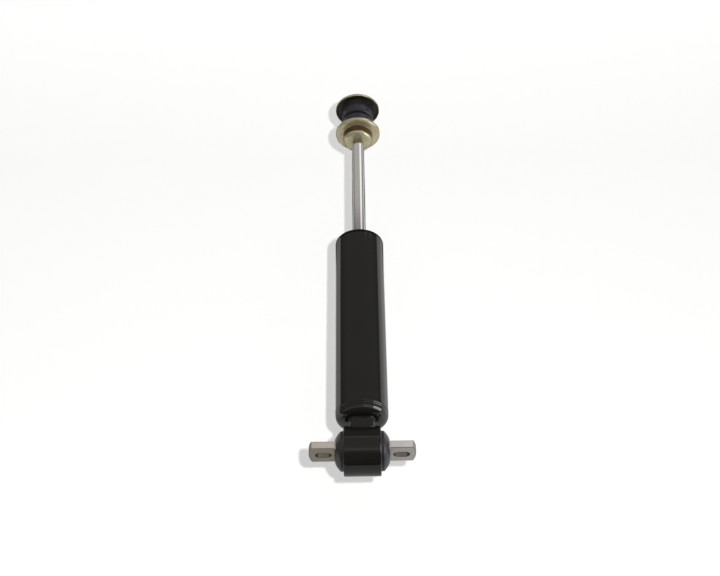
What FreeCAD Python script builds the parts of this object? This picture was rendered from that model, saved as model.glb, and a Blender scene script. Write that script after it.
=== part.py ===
import FreeCAD, Part
import math
import os
import types
import Sketcher

# A twin-tube shock absorber with a threaded stem on top and a slotted bar pin below.
# Millimetres. The origin is the centre of the lower eye, +Z runs up the rod and +X runs
# along the bar pin. The rod is drawn fully out, as it stands when nothing holds it.

# Every size that can be set by itself. All other sizes are worked out from these.
DRIVING_SIZES = {
    # bar pin
    "slot_root_wall": 2.5,
    "slot_end_wall": 5.15,
    "bar_end_crown": 2.2,
    "blade_width": 24.0,
    "blade_thickness": 6.6,
    "blade_edge": 0.7,
    "slot_width": 8.7,
    "slot_length": 13.5,
    "pin_diameter": 14.0,
    "pin_flare": 6.0,
    "pin_nose_gap": 0.3,
    "seat_line_width": 0.5,
    "seat_line_depth": 0.3,
    # lower eye and its rubber bush
    "eye_diameter": 40.6,
    "eye_wall": 3.1,
    "eye_width": 30.5,
    "eye_edge": 1.0,
    "eye_bush_gap": 0.06,
    "bush_proud": 6.95,
    "bush_land": 2.3,
    "bush_land_step": 0.84,
    "bush_face_diameter": 19.0,
    # base cap and the saddle that carries the eye
    "neck_height": 4.5,
    "neck_width": 20.8,
    "neck_depth": 27.0,
    "neck_corner": 5.0,
    "cap_corner": 7.6,
    "cap_thickness": 2.5,
    "cap_groove_rise": 0.5,
    "cap_groove_depth": 0.4,
    "cap_bead": 1.8,
    "seam_chamfer": 0.4,
    "spigot_height": 5.0,
    "spigot_wall": 1.8,
    # the two tubes
    "bore": 27.0,
    "pressure_wall": 1.5,
    "reserve_gap": 5.625,
    "tube_wall": 1.6,
    "roll_radius": 3.2,
    "roll_width": 2.2,
    # foot valve
    "valve_leg_height": 9.0,
    "valve_leg_wall": 2.5,
    "valve_leg_inset": 0.5,
    "valve_leg_gap": 5.0,
    "valve_leg_gap_height": 4.5,
    "valve_leg_count": 4,
    "valve_disc_recess": 1.2,
    "valve_flange_height": 3.7,
    "valve_flange_step": 2.0,
    "valve_spigot": 4.0,
    "valve_hole": 5.0,
    "rivet_head_diameter": 10.0,
    "rivet_head_height": 2.0,
    # rod, stem and travel
    "rod_diameter": 12.4,
    "rod_travel": 104.0,
    "rod_showing": 128.6,
    "stem_step": 1.2,
    "rod_chamfer": 0.5,
    "stem_tip": 6.5,
    "stem_tip_flats": 7.0,
    "stem_flat_length": 4.0,
    "stem_chamfer": 1.0,
    "stem_tail": 0.8,
    "travel_margin": 3.5,
    # piston and its valves
    "piston_height": 12.0,
    "piston_land_gap": 0.15,
    "band_height": 8.0,
    "band_thickness": 1.5,
    "band_end_gap": 0.15,
    # ports and discs that the piston and the foot valve share
    "port_count": 6,
    "port_diameter": 2.0,
    "port_inner_wall": 1.15,
    "port_outer_wall": 0.6,
    "disc_thickness": 0.3,
    "disc_land": 0.9,
    "disc_step": 1.4,
    "intake_disc_thickness": 0.6,
    "intake_disc_land": 0.7,
    "check_lift": 0.8,
    "spring_thickness": 0.3,
    "spring_inset": 1.5,
    "spring_slit": 2.4,
    "spring_hub_wall": 1.05,
    # what clamps the piston to the rod
    "plate_thickness": 1.2,
    "plate_diameter": 19.0,
    "backing_thickness": 1.6,
    "backing_diameter": 13.6,
    "nut_flats": 16.0,
    "nut_height": 6.0,
    # rebound stop
    "stop_inset": 1.5,
    "stop_height": 4.0,
    "stop_groove": 0.8,
    "stop_height_above_shoulder": 3.1,
    "bumper_gap": 2.5,
    "bumper_height": 6.0,
    "bumper_edge": 1.0,
    # rod guide, seal and closing cap
    "guide_height": 12.0,
    "guide_spigot": 6.0,
    "guide_bush_wall": 1.5,
    "guide_bush_length": 10.0,
    "guide_rod_gap": 0.4,
    "guide_wall": 3.075,
    "drain_diameter": 2.0,
    "drain_count": 3,
    "seal_height": 5.0,
    "seal_lip": 2.0,
    "seal_web": 1.7,
    "seal_spring_wire": 1.4,
    "o_ring_section": 2.4,
    "top_cap_thickness": 2.5,
    "top_cap_rise": 1.1,
    "top_cap_rod_gap": 0.8,
    # stem mount hardware
    "washer_diameter": 44.6,
    "washer_sheet": 1.8,
    "washer_lip": 1.9,
    "washer_bend": 1.6,
    "hub_diameter": 29.0,
    "hub_depth": 10.2,
    "hub_corner": 3.2,
    "stem_hole_gap": 0.15,
    "bush_diameter": 31.4,
    "upper_bush_diameter": 32.4,
    "lower_bush_height": 16.4,
    "upper_bush_height": 16.4,
    "bush_edge": 2.0,
    "bush_parting": 1.5,
    "frame_hole": 19.0,
    "frame_neck": 4.0,
    "top_nut_flats": 17.0,
    "top_nut_height": 8.0,
    "hex_chamfer": 1.0,
    # shared fits
    "running_gap": 0.05,
    "slip_gap": 0.05,
    "rest_gap": 0.3,
}


class Size:
    """A length in millimetres, with the sheet formula that gives it."""

    def __init__(self, value, formula):
        self.value = value
        self.formula = formula

    def __add__(self, other):
        other = as_size(other)
        return Size(self.value + other.value, f"({self.formula} + {other.formula})")

    def __radd__(self, other):
        return as_size(other) + self

    def __sub__(self, other):
        other = as_size(other)
        return Size(self.value - other.value, f"({self.formula} - {other.formula})")

    def __rsub__(self, other):
        return as_size(other) - self

    def __mul__(self, other):
        other = as_size(other)
        return Size(self.value * other.value, f"({self.formula} * {other.formula})")

    def __rmul__(self, other):
        return as_size(other) * self

    def __truediv__(self, other):
        other = as_size(other)
        return Size(self.value / other.value, f"({self.formula} / {other.formula})")

    def __neg__(self):
        return Size(-self.value, f"(0 - {self.formula})")


def as_size(number):
    """Give a plain number the form of a size."""
    if isinstance(number, Size):
        return number
    return Size(float(number), repr(float(number)))


# The document and its sheet of sizes
doc = FreeCAD.newDocument("ShockAbsorber")
sheet = doc.addObject("Spreadsheet::Sheet", "Sizes")
for row, (name, value) in enumerate(DRIVING_SIZES.items(), start=1):
    sheet.set(f"A{row}", name)
    sheet.set(f"B{row}", str(value))
    sheet.setAlias(f"B{row}", name)
doc.recompute()

s = types.SimpleNamespace()
for name, value in DRIVING_SIZES.items():
    setattr(s, name, Size(value, "Sizes." + name))

ZERO = as_size(0)
DISC_COUNT = 3
TOUCHING = 0.001
pieces = []


def new_body(name, height=ZERO):
    """Start a body whose own origin stands at a height on the shock's axis."""
    body = doc.addObject("PartDesign::Body", name)
    body.Label = name
    lift_to(body, height)
    return body


def lift_to(item, height):
    """Place an object on the axis at a height that follows the sheet."""
    height = as_size(height)
    item.Placement = FreeCAD.Placement(FreeCAD.Vector(0, 0, height.value), FreeCAD.Rotation())
    item.setExpression(".Placement.Base.z", height.formula)


def origin_feature(body, role):
    """Find one of a body's own origin planes or axes."""
    for feature in body.Origin.OriginFeatures:
        if feature.Role == role:
            return feature
    raise ValueError(f"{body.Label} has no {role}")


def new_sketch(body, name, plane="XZ_Plane", offset=ZERO):
    """Put a sketch on a body's own plane, or at a distance in front of it."""
    sketch = body.newObject("Sketcher::SketchObject", f"{body.Name}_{name}")
    sketch.AttachmentSupport = [(origin_feature(body, plane), "")]
    sketch.MapMode = "FlatFace"
    if offset is not ZERO:
        sketch.AttachmentOffset = FreeCAD.Placement(
            FreeCAD.Vector(0, 0, offset.value), FreeCAD.Rotation()
        )
        sketch.setExpression("AttachmentOffset.Base.z", offset.formula)
    return sketch


def corner(x, y):
    """A corner of an outline, reached by a straight line."""
    return types.SimpleNamespace(x=as_size(x), y=as_size(y), centre=None, clockwise=False)


def bend(x, y, centre_x, centre_y, clockwise=False):
    """A corner of an outline, reached by an arc about a centre."""
    centre = (as_size(centre_x), as_size(centre_y))
    return types.SimpleNamespace(x=as_size(x), y=as_size(y), centre=centre, clockwise=clockwise)


def add_rules(sketch, rules):
    """Add constraints, each with the formula that drives it or none."""
    numbers = sketch.addConstraint([constraint for constraint, formula in rules])
    for number, (constraint, formula) in zip(numbers, rules):
        if formula:
            sketch.setExpression(f"Constraints[{number}]", formula)


def held_at(geometry, point, x=None, y=None):
    """Rules that hold one sketch point at an x, a y or both."""
    rules = []
    for size, kind, axis in ((x, "DistanceX", -2), (y, "DistanceY", -1)):
        if size is None:
            continue
        if size.formula == ZERO.formula:
            rules.append((Sketcher.Constraint("PointOnObject", geometry, point, axis), None))
        else:
            rule = Sketcher.Constraint(kind, -1, 1, geometry, point, size.value)
            rules.append((rule, size.formula))
    return rules


def draw_outline(sketch, corners):
    """Draw a closed outline whose every corner follows the sheet."""
    first_number = sketch.GeometryCount
    ends = []
    rules = []
    for index, here in enumerate(corners):
        before = corners[index - 1]
        start = FreeCAD.Vector(before.x.value, before.y.value)
        finish = FreeCAD.Vector(here.x.value, here.y.value)
        if here.centre is None:
            sketch.addGeometry(Part.LineSegment(start, finish), False)
            ends.append((1, 2))
            continue
        centre = FreeCAD.Vector(here.centre[0].value, here.centre[1].value)
        circle = Part.Circle(centre, FreeCAD.Vector(0, 0, 1), (finish - centre).Length)
        if here.clockwise:
            start, finish = finish, start
        turn_from = math.atan2(start.y - centre.y, start.x - centre.x)
        turn_to = math.atan2(finish.y - centre.y, finish.x - centre.x)
        sketch.addGeometry(Part.ArcOfCircle(circle, turn_from, turn_to), False)
        ends.append((2, 1) if here.clockwise else (1, 2))
    for index, here in enumerate(corners):
        number = first_number + index
        following = (index + 1) % len(corners)
        joint = Sketcher.Constraint(
            "Coincident", number, ends[index][1], first_number + following, ends[following][0]
        )
        rules.append((joint, None))
        rules.extend(held_at(number, ends[index][1], here.x, here.y))
        if here.centre is not None:
            before = corners[index - 1]
            run = abs(here.x.value - before.x.value)
            rise = abs(here.y.value - before.y.value)
            if run > rise:
                rules.extend(held_at(number, 3, y=here.centre[1]))
            else:
                rules.extend(held_at(number, 3, x=here.centre[0]))
    add_rules(sketch, rules)


def draw_circle(sketch, x, y, diameter):
    """Draw a circle that follows the sheet."""
    x = as_size(x)
    y = as_size(y)
    diameter = as_size(diameter)
    centre = FreeCAD.Vector(x.value, y.value)
    circle = Part.Circle(centre, FreeCAD.Vector(0, 0, 1), diameter.value / 2)
    number = sketch.addGeometry(circle, False)
    rules = held_at(number, 3, x, y)
    rules.append((Sketcher.Constraint("Diameter", number, diameter.value), diameter.formula))
    add_rules(sketch, rules)


def turned(body, corners, axis="V_Axis", name="profile"):
    """Turn a closed profile about the shock's axis, or about the bar pin's with H_Axis."""
    sketch = new_sketch(body, name)
    draw_outline(sketch, corners)
    feature = body.newObject("PartDesign::Revolution", f"{body.Name}_{name}_turn")
    feature.Profile = sketch
    feature.ReferenceAxis = (sketch, [axis])
    feature.Angle = 360
    return feature


def pushed(body, sketch, length, kind="Pad", reverse=False, both_ways=False):
    """Pad or pocket a sketch through a length."""
    length = as_size(length)
    feature = body.newObject(f"PartDesign::{kind}", f"{sketch.Name}_{kind.lower()}")
    feature.Profile = sketch
    feature.Length = length.value
    feature.setExpression("Length", length.formula)
    feature.Reversed = reverse
    feature.SideType = "Symmetric" if both_ways else "One side"
    return feature


def pocketed(body, sketch, length, reverse=False, both_ways=False):
    """Cut a sketch into a body, and make sure that it took something away."""
    doc.recompute()
    before = body.Shape.Volume
    feature = pushed(body, sketch, length, "Pocket", reverse, both_ways)
    doc.recompute()
    if body.Shape.Volume >= before:
        raise ValueError(f"{feature.Name} cuts nothing")
    return feature


def repeated(body, feature, count):
    """Repeat a feature round the body's own Z axis."""
    pattern = body.newObject("PartDesign::PolarPattern", f"{feature.Name}_round")
    pattern.Originals = [feature]
    pattern.Axis = (origin_feature(body, "Z_Axis"), [""])
    pattern.Angle = 360
    pattern.Occurrences = int(count.value)
    pattern.setExpression("Occurrences", count.formula)
    body.Tip = pattern
    return pattern


def edges_where(feature, test):
    """Name the edges of a feature whose every point passes a test."""
    doc.recompute()
    found = []
    for number, edge in enumerate(feature.Shape.Edges, start=1):
        if all(test(point) for point in edge.discretize(5)):
            found.append(f"Edge{number}")
    return found


def eased(body, feature, kind, size, test):
    """Fillet or chamfer the edges that pass a test."""
    ease = body.newObject(f"PartDesign::{kind}", f"{feature.Name}_{kind.lower()}")
    ease.Base = (feature, edges_where(feature, test))
    value = "Radius" if kind == "Fillet" else "Size"
    setattr(ease, value, size.value)
    ease.setExpression(value, size.formula)
    return ease


def hexagon(flats):
    """Corners of a hexagon that is flats across, with two flats facing +Y and -Y."""
    reach = flats / math.sqrt(3)
    half_reach = reach / 2
    half_flats = flats / 2
    return [
        corner(reach, 0),
        corner(half_reach, half_flats),
        corner(-half_reach, half_flats),
        corner(-reach, 0),
        corner(-half_reach, -half_flats),
        corner(half_reach, -half_flats),
    ]


def ring(name, height, inside, outside, thickness, edge=None):
    """A plain ring on the shock's axis, with its outer edges eased where an edge is given."""
    body = new_body(name, height)
    if edge is None:
        corners = [
            corner(inside / 2, 0),
            corner(outside / 2, 0),
            corner(outside / 2, thickness),
            corner(inside / 2, thickness),
        ]
    else:
        corners = [
            corner(inside / 2, 0),
            corner(outside / 2 - edge, 0),
            bend(outside / 2, edge, outside / 2 - edge, edge),
            corner(outside / 2, thickness - edge),
            bend(outside / 2 - edge, thickness, outside / 2 - edge, thickness - edge),
            corner(inside / 2, thickness),
        ]
    turned(body, corners)
    pieces.append(body)
    return body


# Radii from the axis outwards, which several pieces share
rod_radius = s.rod_diameter / 2
stem_radius = rod_radius - s.stem_step
stem_bore = stem_radius + s.slip_gap
stem_hole = 2 * (stem_radius + s.stem_hole_gap)
bore_radius = s.bore / 2
pressure_radius = bore_radius + s.pressure_wall
tube_bore_radius = pressure_radius + s.reserve_gap
tube_radius = tube_bore_radius + s.tube_wall
eye_radius = s.eye_diameter / 2
eye_bore_radius = eye_radius - s.eye_wall

# Heights of the end cap, the foot valve and the tubes' lower ends
cap_bottom = eye_radius + s.neck_height
cap_groove = s.cap_corner + s.cap_groove_rise
cap_height = cap_groove + s.cap_bead
seam = cap_bottom + cap_height
valve_floor = cap_bottom + s.cap_thickness
pressure_bottom = valve_floor + s.valve_leg_height + s.valve_flange_height
valve_top = pressure_bottom + s.valve_spigot
base_spring_bottom = valve_top + s.intake_disc_thickness + s.check_lift
rivet_head_bottom = base_spring_bottom + s.spring_thickness + s.rest_gap
rivet_top = rivet_head_bottom + s.rivet_head_height

# Heights of the rod and the piston, with the rod fully out
rod_end = rivet_top + s.travel_margin + s.rod_travel
nut_bottom = rod_end + s.stem_tail
nut_top = nut_bottom + s.nut_height
backing_top = nut_top + s.backing_thickness
piston_bottom = backing_top + DISC_COUNT * s.disc_thickness
piston_top = piston_bottom + s.piston_height
piston_spring_bottom = piston_top + s.intake_disc_thickness + s.check_lift
plate_bottom = piston_spring_bottom + s.spring_thickness + s.rest_gap
rod_shoulder = plate_bottom + s.plate_thickness
stop_bottom = rod_shoulder + s.stop_height_above_shoulder
bumper_bottom = stop_bottom + s.stop_height

# Heights of the rod guide and the closed end of the tube
guide_bottom = bumper_bottom + s.bumper_height + s.rest_gap
pressure_top = guide_bottom + s.guide_spigot
guide_top = pressure_top + s.guide_height
tube_top = guide_top + s.top_cap_thickness + s.tube_wall

# Heights of the washers, the bushes and the nut on the stem
washer_seat = tube_top + s.rod_showing
parting = washer_seat + s.washer_sheet + s.hub_depth + s.lower_bush_height
upper_bush_bottom = parting + s.bush_parting
upper_washer_bottom = upper_bush_bottom + s.upper_bush_height
upper_nut_bottom = upper_washer_bottom + s.washer_sheet
stem_top = upper_nut_bottom + s.top_nut_height + s.stem_tip

# Bar pin: a round bar whose two ends are forged flat and slotted for the control arm's bolts
bar_pin = new_body("bar_pin")
eye_half = s.eye_width / 2
bush_half = eye_half + s.bush_proud
pin_nose = bush_half + s.pin_nose_gap
pin_round_half = pin_nose - s.pin_flare
nose_radius = (s.blade_thickness - s.blade_edge) / 2
turned(
    bar_pin,
    [
        corner(-pin_nose, 0),
        corner(-pin_nose, nose_radius),
        corner(-pin_round_half, s.pin_diameter / 2),
        corner(pin_round_half, s.pin_diameter / 2),
        corner(pin_nose, nose_radius),
        corner(pin_nose, 0),
    ],
    axis="H_Axis",
    name="round",
)
blade_half = s.blade_width / 2
slot_centre = pin_nose + s.slot_root_wall + s.slot_length / 2
bar_half = slot_centre + s.slot_length / 2 + s.slot_end_wall
waist_half = s.pin_diameter / 2 - 2 * s.blade_edge
crown_radius = (blade_half * blade_half + s.bar_end_crown * s.bar_end_crown) / (2 * s.bar_end_crown)
crown_start = bar_half - s.bar_end_crown
crown_centre = bar_half - crown_radius
blade_sketch = new_sketch(bar_pin, "blades", "XY_Plane")
draw_outline(
    blade_sketch,
    [
        corner(-pin_round_half, -waist_half),
        corner(pin_round_half, -waist_half),
        corner(pin_nose, -blade_half),
        corner(crown_start, -blade_half),
        bend(crown_start, blade_half, crown_centre, 0),
        corner(pin_nose, blade_half),
        corner(pin_round_half, waist_half),
        corner(-pin_round_half, waist_half),
        corner(-pin_nose, blade_half),
        corner(-crown_start, blade_half),
        bend(-crown_start, -blade_half, -crown_centre, 0),
        corner(-pin_nose, -blade_half),
    ],
)
blades = pushed(bar_pin, blade_sketch, s.blade_thickness, both_ways=True)


def on_blade_rim(point):
    """True on the outer edges of the two flat faces of a blade."""
    on_face = abs(abs(point.z) - s.blade_thickness.value / 2) < TOUCHING
    return on_face and abs(point.x) > pin_nose.value - TOUCHING


blade_ease = eased(bar_pin, blades, "Fillet", s.blade_edge, on_blade_rim)
slot_sketch = new_sketch(bar_pin, "slots", "XY_Plane")
slot_half = s.slot_width / 2
slot_run = s.slot_length / 2 - slot_half
for side in (-1, 1):
    middle = side * slot_centre
    slot_outline = [
        corner(middle + slot_run, -slot_half),
        bend(middle + slot_run, slot_half, middle + slot_run, 0),
        corner(middle - slot_run, slot_half),
        bend(middle - slot_run, -slot_half, middle - slot_run, 0),
    ]
    draw_outline(slot_sketch, slot_outline)
pocketed(bar_pin, slot_sketch, 2 * s.blade_thickness, both_ways=True)
line_end = pin_nose + s.seat_line_width
for face in (-1, 1):
    face_name = "lower_lines" if face < 0 else "upper_lines"
    line_sketch = new_sketch(bar_pin, face_name, "XY_Plane", face * s.blade_thickness / 2)
    for side in (-1, 1):
        draw_outline(
            line_sketch,
            [
                corner(side * pin_nose, -s.blade_width),
                corner(side * line_end, -s.blade_width),
                corner(side * line_end, s.blade_width),
                corner(side * pin_nose, s.blade_width),
            ],
        )
    pocketed(bar_pin, line_sketch, s.seat_line_depth, reverse=face < 0)
pieces.append(bar_pin)

# The crown of the eye bush turns about a point this many chords behind its own chord
CROWN_SET = 2.05

# Eye bush: rubber moulded round the pin, crowned where it stands out of the eye
bush_radius = eye_bore_radius - s.eye_bush_gap
bush_land_radius = bush_radius - s.bush_land_step
bush_face_radius = s.bush_face_diameter / 2
land_end = eye_half + s.bush_land
crown_reach = bush_half - land_end
crown_drop = bush_land_radius - bush_face_radius
crown_middle_x = (land_end + bush_half) / 2 - CROWN_SET * crown_drop
crown_middle_y = (bush_land_radius + bush_face_radius) / 2 - CROWN_SET * crown_reach
bush_blank = new_body("eye_bush_blank")
turned(
    bush_blank,
    [
        corner(-bush_half, 0),
        corner(bush_half, 0),
        corner(bush_half, bush_face_radius),
        bend(land_end, bush_land_radius, crown_middle_x, crown_middle_y),
        corner(eye_half, bush_land_radius),
        corner(eye_half, bush_radius),
        corner(-eye_half, bush_radius),
        corner(-eye_half, bush_land_radius),
        corner(-land_end, bush_land_radius),
        bend(-bush_half, bush_face_radius, -crown_middle_x, crown_middle_y),
    ],
    axis="H_Axis",
)
eye_bush = doc.addObject("Part::Cut", "eye_bush")
eye_bush.Label = "eye_bush"
eye_bush.Base = bush_blank
eye_bush.Tool = bar_pin
pieces.append(eye_bush)

# Eye ring: a length of tube, welded to the saddle of the base cap
eye_ring = new_body("eye_ring")
eye_edge = s.eye_edge
turned(
    eye_ring,
    [
        corner(eye_half, eye_bore_radius),
        corner(eye_half, eye_radius - eye_edge),
        bend(eye_half - eye_edge, eye_radius, eye_half - eye_edge, eye_radius - eye_edge),
        corner(-eye_half + eye_edge, eye_radius),
        bend(-eye_half, eye_radius - eye_edge, -eye_half + eye_edge, eye_radius - eye_edge),
        corner(-eye_half, eye_bore_radius),
    ],
    axis="H_Axis",
)
pieces.append(eye_ring)

# Base cap: a pressed cup with a spigot inside the outer tube and a saddle for the eye
base_cap = new_body("base_cap", cap_bottom)
cap_flat = tube_radius - s.cap_corner
spigot_radius = tube_bore_radius - s.slip_gap
spigot_bore = spigot_radius - s.spigot_wall
groove_depth = s.cap_groove_depth
cap_cup = turned(
    base_cap,
    [
        corner(0, 0),
        corner(cap_flat, 0),
        bend(tube_radius, s.cap_corner, cap_flat, s.cap_corner),
        corner(tube_radius, cap_groove - groove_depth),
        corner(tube_radius - groove_depth, cap_groove),
        corner(tube_radius, cap_groove + groove_depth),
        corner(tube_radius, cap_height - s.seam_chamfer),
        corner(tube_radius - s.seam_chamfer, cap_height),
        corner(spigot_radius, cap_height),
        corner(spigot_radius, cap_height + s.spigot_height),
        corner(spigot_bore, cap_height + s.spigot_height),
        corner(spigot_bore, s.cap_corner),
        corner(cap_flat, s.cap_thickness),
        corner(0, s.cap_thickness),
    ],
)
neck_sketch = new_sketch(base_cap, "neck", "XY_Plane", s.cap_thickness / 2)
neck_x = s.neck_width / 2
neck_y = s.neck_depth / 2
neck_r = s.neck_corner
draw_outline(
    neck_sketch,
    [
        corner(neck_x - neck_r, -neck_y),
        bend(neck_x, -neck_y + neck_r, neck_x - neck_r, -neck_y + neck_r),
        corner(neck_x, neck_y - neck_r),
        bend(neck_x - neck_r, neck_y, neck_x - neck_r, neck_y - neck_r),
        corner(-neck_x + neck_r, neck_y),
        bend(-neck_x, neck_y - neck_r, -neck_x + neck_r, neck_y - neck_r),
        corner(-neck_x, -neck_y + neck_r),
        bend(-neck_x + neck_r, -neck_y, -neck_x + neck_r, -neck_y + neck_r),
    ],
)
neck_root = s.cap_thickness / 2
neck_drop = neck_root + s.neck_height + eye_radius
pushed(base_cap, neck_sketch, neck_drop, reverse=True)
saddle_sketch = new_sketch(base_cap, "saddle", "YZ_Plane")
draw_circle(saddle_sketch, 0, -(s.neck_height + eye_radius), s.eye_diameter)
pocketed(base_cap, saddle_sketch, 2 * s.neck_width, both_ways=True)
pieces.append(base_cap)

# Outer tube: the oil reserve, rolled over the closing cap at its top
reserve_tube = new_body("reserve_tube", seam)
tube_length = tube_top - seam
roll = s.roll_radius
roll_middle = tube_radius - roll
roll_height = tube_length - roll
lip_radius = tube_bore_radius - s.roll_width - (roll - s.tube_wall)
turned(
    reserve_tube,
    [
        corner(tube_bore_radius, 0),
        corner(tube_radius - s.seam_chamfer, 0),
        corner(tube_radius, s.seam_chamfer),
        corner(tube_radius, roll_height),
        bend(roll_middle, tube_length, roll_middle, roll_height),
        corner(lip_radius, tube_length),
        corner(lip_radius, tube_length - s.tube_wall),
        corner(roll_middle, tube_length - s.tube_wall),
        bend(tube_bore_radius, roll_height, roll_middle, roll_height, clockwise=True),
    ],
)
pieces.append(reserve_tube)

# Pressure tube: the honed cylinder that the piston runs in
pressure_length = pressure_top - pressure_bottom
ring("pressure_tube", pressure_bottom, s.bore, 2 * pressure_radius, pressure_length)

# Foot valve: its body stands on slotted legs, so that oil passes under it from the reserve
base_valve_body = new_body("base_valve_body", valve_floor)
valve_flange_top = s.valve_leg_height + s.valve_flange_height
valve_spigot_top = valve_flange_top + s.valve_spigot
valve_spigot_radius = bore_radius - s.slip_gap
leg_outside = cap_flat - s.valve_leg_inset
leg_inside = leg_outside - s.valve_leg_wall
seat_height = s.valve_leg_height - s.valve_disc_recess
flange_radius = pressure_radius + s.valve_flange_step
turned(
    base_valve_body,
    [
        corner(s.valve_hole / 2, seat_height),
        corner(leg_inside, seat_height),
        corner(leg_inside, 0),
        corner(leg_outside, 0),
        corner(leg_outside, s.valve_leg_height),
        corner(flange_radius, s.valve_leg_height),
        corner(flange_radius, valve_flange_top),
        corner(valve_spigot_radius, valve_flange_top),
        corner(valve_spigot_radius, valve_spigot_top),
        corner(s.valve_hole / 2, valve_spigot_top),
    ],
)
leg_gap_sketch = new_sketch(base_valve_body, "leg_gap", "XY_Plane")
leg_gap_half = s.valve_leg_gap / 2
leg_gap_reach = leg_outside + s.valve_leg_wall
draw_outline(
    leg_gap_sketch,
    [
        corner(leg_gap_half, -leg_gap_half),
        corner(leg_gap_reach, -leg_gap_half),
        corner(leg_gap_reach, leg_gap_half),
        corner(leg_gap_half, leg_gap_half),
    ],
)
leg_gap = pocketed(base_valve_body, leg_gap_sketch, s.valve_leg_gap_height, reverse=True)
repeated(base_valve_body, leg_gap, s.valve_leg_count)


# Oil ports: the piston and the foot valve each have an inner and an outer ring of them
band_inside = bore_radius - s.running_gap - s.band_thickness
band_floor = band_inside - s.running_gap
port_radius = s.port_diameter / 2
inner_port_ring = stem_bore + s.port_inner_wall + port_radius
outer_port_ring = band_floor - s.port_outer_wall - port_radius
disc_radius = inner_port_ring + port_radius + s.disc_land
intake_disc_radius = outer_port_ring + port_radius + s.intake_disc_land
half_pitch = math.pi / int(s.port_count.value)


def drilled(body, name, ring_radius, depth, turn=0.0):
    """Drill one ring of oil ports through a body, the first of them turned off the X axis."""
    sketch = new_sketch(body, name, "XY_Plane")
    x = ring_radius * math.cos(turn)
    y = ring_radius * math.sin(turn)
    draw_circle(sketch, x, y, s.port_diameter)
    port = pocketed(body, sketch, 2 * depth, both_ways=True)
    repeated(body, port, s.port_count)


drilled(base_valve_body, "inner_port", inner_port_ring, valve_spigot_top)
drilled(base_valve_body, "outer_port", outer_port_ring, valve_spigot_top, half_pitch)
pieces.append(base_valve_body)

# Compression discs close the inner ports from below, each smaller than the one it backs
valve_seat = valve_floor + seat_height
for step in range(DISC_COUNT):
    ring(
        f"compression_disc_{step + 1}",
        valve_seat - (step + 1) * s.disc_thickness,
        s.valve_hole + 2 * s.slip_gap,
        2 * disc_radius - step * s.disc_step,
        s.disc_thickness,
    )
compression_stack = valve_seat - DISC_COUNT * s.disc_thickness


def intake_disc(name, height, hole):
    """The disc that closes the outer ports, with holes that leave the inner ones open."""
    disc = ring(name, height, hole, 2 * intake_disc_radius, s.intake_disc_thickness)
    drilled(disc, "feed_hole", inner_port_ring, s.intake_disc_thickness)


spring_radius = intake_disc_radius - s.spring_inset


def slit_spring(name, height, hole):
    """A thin spring washer, slit from its rim into fingers that leave the inner ports open."""
    body = ring(name, height, hole, 2 * spring_radius, s.spring_thickness)
    slit_sketch = new_sketch(body, "slit", "XY_Plane")
    inside = stem_bore + s.spring_hub_wall
    outside = spring_radius + s.spring_hub_wall
    slit_half = s.spring_slit / 2
    draw_outline(
        slit_sketch,
        [
            corner(inside, -slit_half),
            corner(outside, -slit_half),
            corner(outside, slit_half),
            corner(inside, slit_half),
        ],
    )
    slit = pocketed(body, slit_sketch, 2 * s.spring_thickness, both_ways=True)
    repeated(body, slit, s.port_count)


# Base intake disc: it lifts to let oil back in from the reserve, against its spring
base_intake_hole = s.valve_hole + 2 * s.running_gap
intake_disc("base_intake_disc", valve_top, base_intake_hole)
slit_spring("base_spring", base_spring_bottom, s.valve_hole + 2 * s.slip_gap)

# Valve rivet: holds the whole foot valve together through its hole
valve_rivet = new_body("valve_rivet", compression_stack)
rivet_radius = s.valve_hole / 2 - s.slip_gap
rivet_head = s.rivet_head_diameter / 2
rivet_length = rivet_head_bottom - compression_stack
turned(
    valve_rivet,
    [
        corner(0, -s.rivet_head_height),
        corner(rivet_head, -s.rivet_head_height),
        corner(rivet_head, 0),
        corner(rivet_radius, 0),
        corner(rivet_radius, rivet_length),
        corner(rivet_head, rivet_length),
        corner(rivet_head, rivet_length + s.rivet_head_height),
        corner(0, rivet_length + s.rivet_head_height),
    ],
)
pieces.append(valve_rivet)

# Piston rod: one chromed bar from the piston nut to the tip of the stem
piston_rod = new_body("piston_rod", rod_end)
rod_top = washer_seat - rod_end
stem_length = stem_top - washer_seat
chamfer = s.stem_chamfer
shoulder_low = rod_shoulder - rod_end
stop_low = stop_bottom - rod_end
stop_high = bumper_bottom - rod_end
groove_radius = rod_radius - s.stop_groove
turned(
    piston_rod,
    [
        corner(0, 0),
        corner(stem_radius - chamfer, 0),
        corner(stem_radius, chamfer),
        corner(stem_radius, shoulder_low),
        corner(rod_radius, shoulder_low),
        corner(rod_radius, stop_low),
        corner(groove_radius, stop_low),
        corner(groove_radius, stop_high),
        corner(rod_radius, stop_high),
        corner(rod_radius, rod_top - s.rod_chamfer),
        corner(rod_radius - s.rod_chamfer, rod_top),
        corner(stem_radius, rod_top),
        corner(stem_radius, rod_top + stem_length - chamfer),
        corner(stem_radius - chamfer, rod_top + stem_length),
        corner(0, rod_top + stem_length),
    ],
)
flat_sketch = new_sketch(piston_rod, "flats", "XY_Plane", rod_top + stem_length)
for side in (-1, 1):
    draw_outline(
        flat_sketch,
        [
            corner(-stem_radius, side * s.stem_tip_flats / 2),
            corner(stem_radius, side * s.stem_tip_flats / 2),
            corner(stem_radius, side * s.rod_diameter),
            corner(-stem_radius, side * s.rod_diameter),
        ],
    )
pocketed(piston_rod, flat_sketch, s.stem_flat_length)
pieces.append(piston_rod)

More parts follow.
